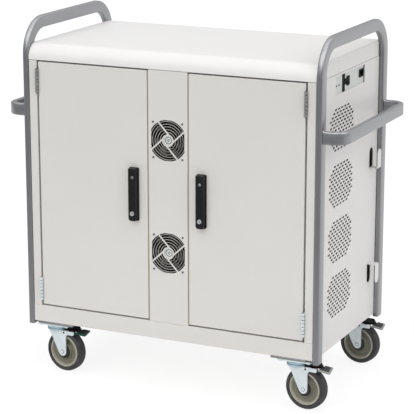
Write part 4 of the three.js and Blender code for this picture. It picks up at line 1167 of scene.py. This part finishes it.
# Rear door
# A full-width folded pan that gives access to the power bay. It turns on pins in the rear rail and the lid's lip
# and has a lock cylinder at its free edge.
bm = blank()
pan(bm, (-438.5, BACK - 18, DOOR_LOW), (438.5, BACK, DOOR_HIGH), BACK - 18)
for foot, length in ((DOOR_LOW - 6.6, 8.0), (DOOR_HIGH - 1.4, 8.0)):
    pin = [(0, 0), (3.4, 0), (4, 0.6), (4, length - 0.6), (3.4, length), (0, length)]
    turned(bm, pin, facing((-428.5, 259.0, foot), (1, 0, 0), (0, 1, 0)), 20)
piece("rear_door_pan", bm, [cabinet_paint], "rear_door", ["rear_door"])

bm = blank()
lock_face(bm, facing((408.5, 270.9, 574.0), (-1, 0, 0), UP), 8.0, 12.0, 1.6)
collar = [(7.6, 0.3), (11, 0.3), (11, 2.0), (10.2, 2.6), (8.2, 2.8), (7.6, 0.3)]
turned(bm, collar, facing((408.5, BACK, 574.0), (-1, 0, 0), UP), 32)
piece("rear_key_barrel", bm, [pin_steel], "rear_key", ["rear_key_cylinder"])


# Casters
# Four plated swivel casters bolted under the foot rails: top plate with a ball race, a pressed fork, a grey
# wheel with a dark tyre, and a brake block with a foot tread, green at the left front.
def rubber(name):
    """Grey tyre rubber: matt, finely pitted, dusty in patches."""
    material, surface, place = new_finish(name)
    pit = noise(place, 700.0, 3.0, 0.6)
    dusty = noise(place, 28.0, 4.0, 0.65)
    looks = {
        "Base Color": dusty.ramp(0.4, 0.85).between(screen(56, 56, 58), screen(84, 83, 82)),
        "Roughness": dusty * 0.15 + pit * 0.1 + 0.52,
        "Normal": bump(pit, 0.2, 0.0004),
        "Specular IOR Level": 0.25,
    }
    dress(surface, looks)
    return material


tyre_rubber = rubber("tyre_rubber")
core_plastic = moulded("core_plastic", screen(114, 113, 99), screen(137, 136, 121), 0.48, 400.0)
# A lighter colour for the wheel core's rim lip: a painted highlight where the lip catches light.
rim_painted_highlight = moulded("rim_painted_highlight", screen(162, 159, 146), screen(188, 185, 172), 0.46, 400.0)
# Dark grey plastic for the hubs, fork seat and tread ribs; on the brake block's top ribs it is a painted highlight.
hub_plastic_and_painted_highlight = moulded("hub_plastic_and_painted_highlight", screen(34, 34, 37), screen(56, 56, 60), 0.5)
green_plastic = moulded("green_plastic", screen(4, 60, 43), screen(10, 76, 56), 0.42)
grey_plastic = moulded("grey_plastic", screen(128, 130, 126), screen(158, 160, 155), 0.46)
race_zinc = steel_wire("race_zinc", screen(158, 184, 197), screen(200, 222, 230), 0.32, 40.0, 0.3)
AXLE_T, AXLE_Z = 28.0, 62.5
PEDAL_T, PEDAL_Z = 56.0, 130.0
CASTER_X, CASTER_TURN = 387.0, -8.0


def hex_head(bm, place, across, height, coat=0):
    part = blank()
    bmesh.ops.create_circle(part, cap_ends=False, segments=6, radius=across / math.sqrt(3))
    slab(bm, part, height, place, 0.7, 0.2, 2, coat)


for end, way in (("front", -210.0), ("rear", 226.0)):
    for side, hand in HANDS:
        name = end + "_" + hand
        x = side * CASTER_X
        swivel = Matrix.Translation((x, way, 0)) @ Matrix.Rotation(math.radians(CASTER_TURN), 4, "Z")

        bm = blank()
        part = blank()
        rounded(part, 104, 80, 8, steps=4)
        slab(bm, part, 4.0, facing((x, way, 148.4), (1, 0, 0), (0, 1, 0)), 0.8, 0.8, 2)
        race = [(6, 143.0), (37, 144.6), (36.6, 142.8), (34.2, 139.6), (32.8, 135.8), (31.2, 133.6), (6, 133.6)]
        race += [(6, 143.0)]
        turned(bm, race, Matrix.Translation((x, way, 0)), 48, 1)
        king = [(0, 128.8), (8.4, 128.8), (9.8, 129.4), (9.8, 131.4), (6, 131.7), (6, 144.4), (0, 144.4)]
        turned(bm, king, Matrix.Translation((x, way, 0)), 24)
        for u in (-42, 42):
            for v in (-30, 30):
                board = facing((x + u, way + v, 140.6), (1, 0, 0), (0, -1, 0))
                hex_head(bm, board, 10.0, 3.4)
                turned(bm, [(4.2, -3.2), (7.6, -3.2), (7.6, -3.9), (4.2, -3.9), (4.2, -3.2)], board, 20)
        piece(name + "_top_plate", bm, [zinc, race_zinc], "cabinet", [name + "_caster_plate"])

        bm = blank()
        leg = [(-25, 128.1), (-18.2, 121), (-11.2, 110.5), (-5, 99), (4.5, 79), (16, 56.5)]
        for step in range(1, 11):
            turn = math.radians(207 + 15.3 * step)
            leg.append((AXLE_T + 13 * math.cos(turn), AXLE_Z + 13 * math.sin(turn)))
        leg += [(41, 107), (42, 112.3), (44.6, 116.2), (48.6, 118.2), (54, 118.5), (67, 118.5), (69.9, 121)]
        leg += [(69.9, 130.4), (40, 130.4), (32, 128.1)]
        for n in (-1, 1):
            part = blank()
            ring(part, [(-n * t, z) for t, z in leg])
            slab(bm, part, 4.0, facing((0, n * 23, 0), (-n, 0, 0), UP), 0.8, 0.8, 2)
        deck = [(-25, -23, 125.0), (-25, -23, 129.4), (-25, 23, 129.4), (-25, 23, 125.0)]
        folded_sheet(bm, deck, (55, 0, 0), 3.6, 3.4, (0, 0, 120))
        seat = [(6.4, 128.0), (31, 128.0), (33.4, 129.4), (33.8, 130.8), (32.8, 131.7), (30.6, 131.9), (29.6, 133.2)]
        seat += [(6.4, 133.2), (6.4, 128.0)]
        turned(bm, seat, Matrix(), 48, 2)
        rivet = [(0, 23.0), (0, 24.0), (2.2, 23.8), (3.0, 23.0), (0, 23.0)]
        turned(bm, rivet, facing((35.0, 0, 123.5), (1, 0, 0), UP), 16, 1)
        bmesh.ops.transform(bm, matrix=swivel, verts=bm.verts)
        piece(name + "_fork_pressing", bm, [zinc, hub_plastic_and_painted_highlight, race_zinc], name + "_caster", [name + "_fork"])

        axle = facing((AXLE_T, 0, AXLE_Z), (1, 0, 0), UP)
        bm = blank()
        turned(bm, [(0, -23.2), (5, -23.2), (5, 23.2), (0, 23.2)], axle, 20)
        for flip in (0, math.pi):
            head = axle @ Matrix.Rotation(flip, 4, "X")
            turned(bm, [(0, 26.2), (2.2, 26.2), (3.5, 25.8), (4.3, 24.8), (4.5, 23.9), (4.0, 23.5), (0, 23.0)], head, 24)
            turned(bm, [(3.6, 23.9), (5.8, 23.9), (6.4, 23.5), (6.4, 23.1), (3.6, 23.1), (3.6, 23.9)], head, 28, 1)
        bmesh.ops.transform(bm, matrix=swivel, verts=bm.verts)
        piece(name + "_axle_bolt", bm, [zinc, hinge_zinc], name + "_caster", [name + "_axle"])

        bm = blank()
        half = [(49.4, 13.2), (50.8, 15.5), (53.2, 16), (57, 15.8), (60.2, 13.8), (61.9, 10.2), (62.4, 5.0), (62.45, 0)]
        tread = half + [(r, -h) for r, h in reversed(half[:-1])] + [half[0]]
        turned(bm, tread, axle, 72)
        bmesh.ops.transform(bm, matrix=swivel, verts=bm.verts)
        piece(name + "_tyre", bm, [tyre_rubber], name + "_wheel", [name + "_wheel"])

        bm = blank()
        half = [(5.3, 15.0), (16, 15.0), (21.5, 13.6), (24.0, 8.2), (27, 5.0), (31, 4.0), (37, 4.6), (41, 7.6)]
        core = half + [(r, -h) for r, h in reversed(half)] + [half[0]]
        turned(bm, core, axle, 64)
        # The rim lip takes the lighter colour: a painted highlight on the same moulding as the core.
        half = [(41.1, 7.6), (43.0, 13.0), (44.6, 15.6), (47.2, 15.7), (49.3, 13.4)]
        rim = half + [(r, -h) for r, h in reversed(half)] + [half[0]]
        turned(bm, rim, axle, 64, 1)
        bmesh.ops.transform(bm, matrix=swivel, verts=bm.verts)
        piece(name + "_wheel_core", bm, [core_plastic, rim_painted_highlight], name + "_wheel")

        bm = blank()
        for flip in (1, -1):
            cap = [(5.4, 14.2), (21.6, 14.2), (22.2, 15.0), (21.4, 16.6), (17, 18.3), (5.4, 18.5), (5.4, 14.2)]
            turned(bm, [(r, flip * h) for r, h in cap], axle, 40)
        bmesh.ops.transform(bm, matrix=swivel, verts=bm.verts)
        piece(name + "_hub_cap", bm, [hub_plastic_and_painted_highlight], name + "_wheel")

        pivot = facing((PEDAL_T, 0, PEDAL_Z), (1, 0, 0), UP)
        bm = blank()
        part = blank()
        ring(part, [(-26, 1), (7, -5), (12, -2), (12, 4), (8, 8.6), (-22, 8.6), (-26, 6)])
        slab(bm, part, 36.0, pivot @ Matrix.Translation((0, 0, 18)), 1.2, 1.2, 3)
        part = blank()
        ring(part, [(9, -3.4), (24, -3.0), (24, 1.0), (9, 3.0)])
        slab(bm, part, 13.0, pivot @ Matrix.Translation((0, 0, 6.5)), 0.8, 0.8, 2)
        # The ribs on the block's top take a lighter plastic than the block: painted highlights.
        for t in (-18.0, -11.0, -4.0, 3.0):
            part = blank()
            rounded(part, 3.0, 2.6, 1.1, (t, 8.6), 3)
            slab(bm, part, 32.0, pivot @ Matrix.Translation((0, 0, 16)), 0.6, 0.6, 2, 1)
        turned(bm, [(0, -22.8), (3, -22.8), (3, 22.8), (0, 22.8)], pivot, 16)
        bmesh.ops.transform(bm, matrix=swivel, verts=bm.verts)
        piece(name + "_brake_block", bm, [fan_plastic, hub_plastic_and_painted_highlight], name + "_brake", [name + "_brake_pedal"])

        bm = blank()
        green = name == "front_left"
        sink = 0.0 if green else 4.0
        hang = Matrix.Translation((75, 0, 129.5)) @ Matrix.Rotation(math.radians(sink), 4, "Y")
        part = blank()
        ring(part, [(0, -23), (35, -23), (38, -19), (24, 23), (0, 23)])
        slab(bm, part, 4.8, hang, 1.4, 1.8, 3)
        for n in range(-16, 20, 6):
            part = blank()
            reach = 33.0 - (n + 19) / 3.0
            rounded(part, reach - 4, 2.4, 1.0, (2 + reach / 2, n), 3)
            slab(bm, part, 1.9, hang @ Matrix.Translation((0, 0, 1.3)), 0.5, 0.0, 2, 1)
        bmesh.ops.transform(bm, matrix=swivel, verts=bm.verts)
        tread_plastic = green_plastic if green else grey_plastic
        piece(name + "_brake_tread", bm, [tread_plastic, hub_plastic_and_painted_highlight], name + "_brake")
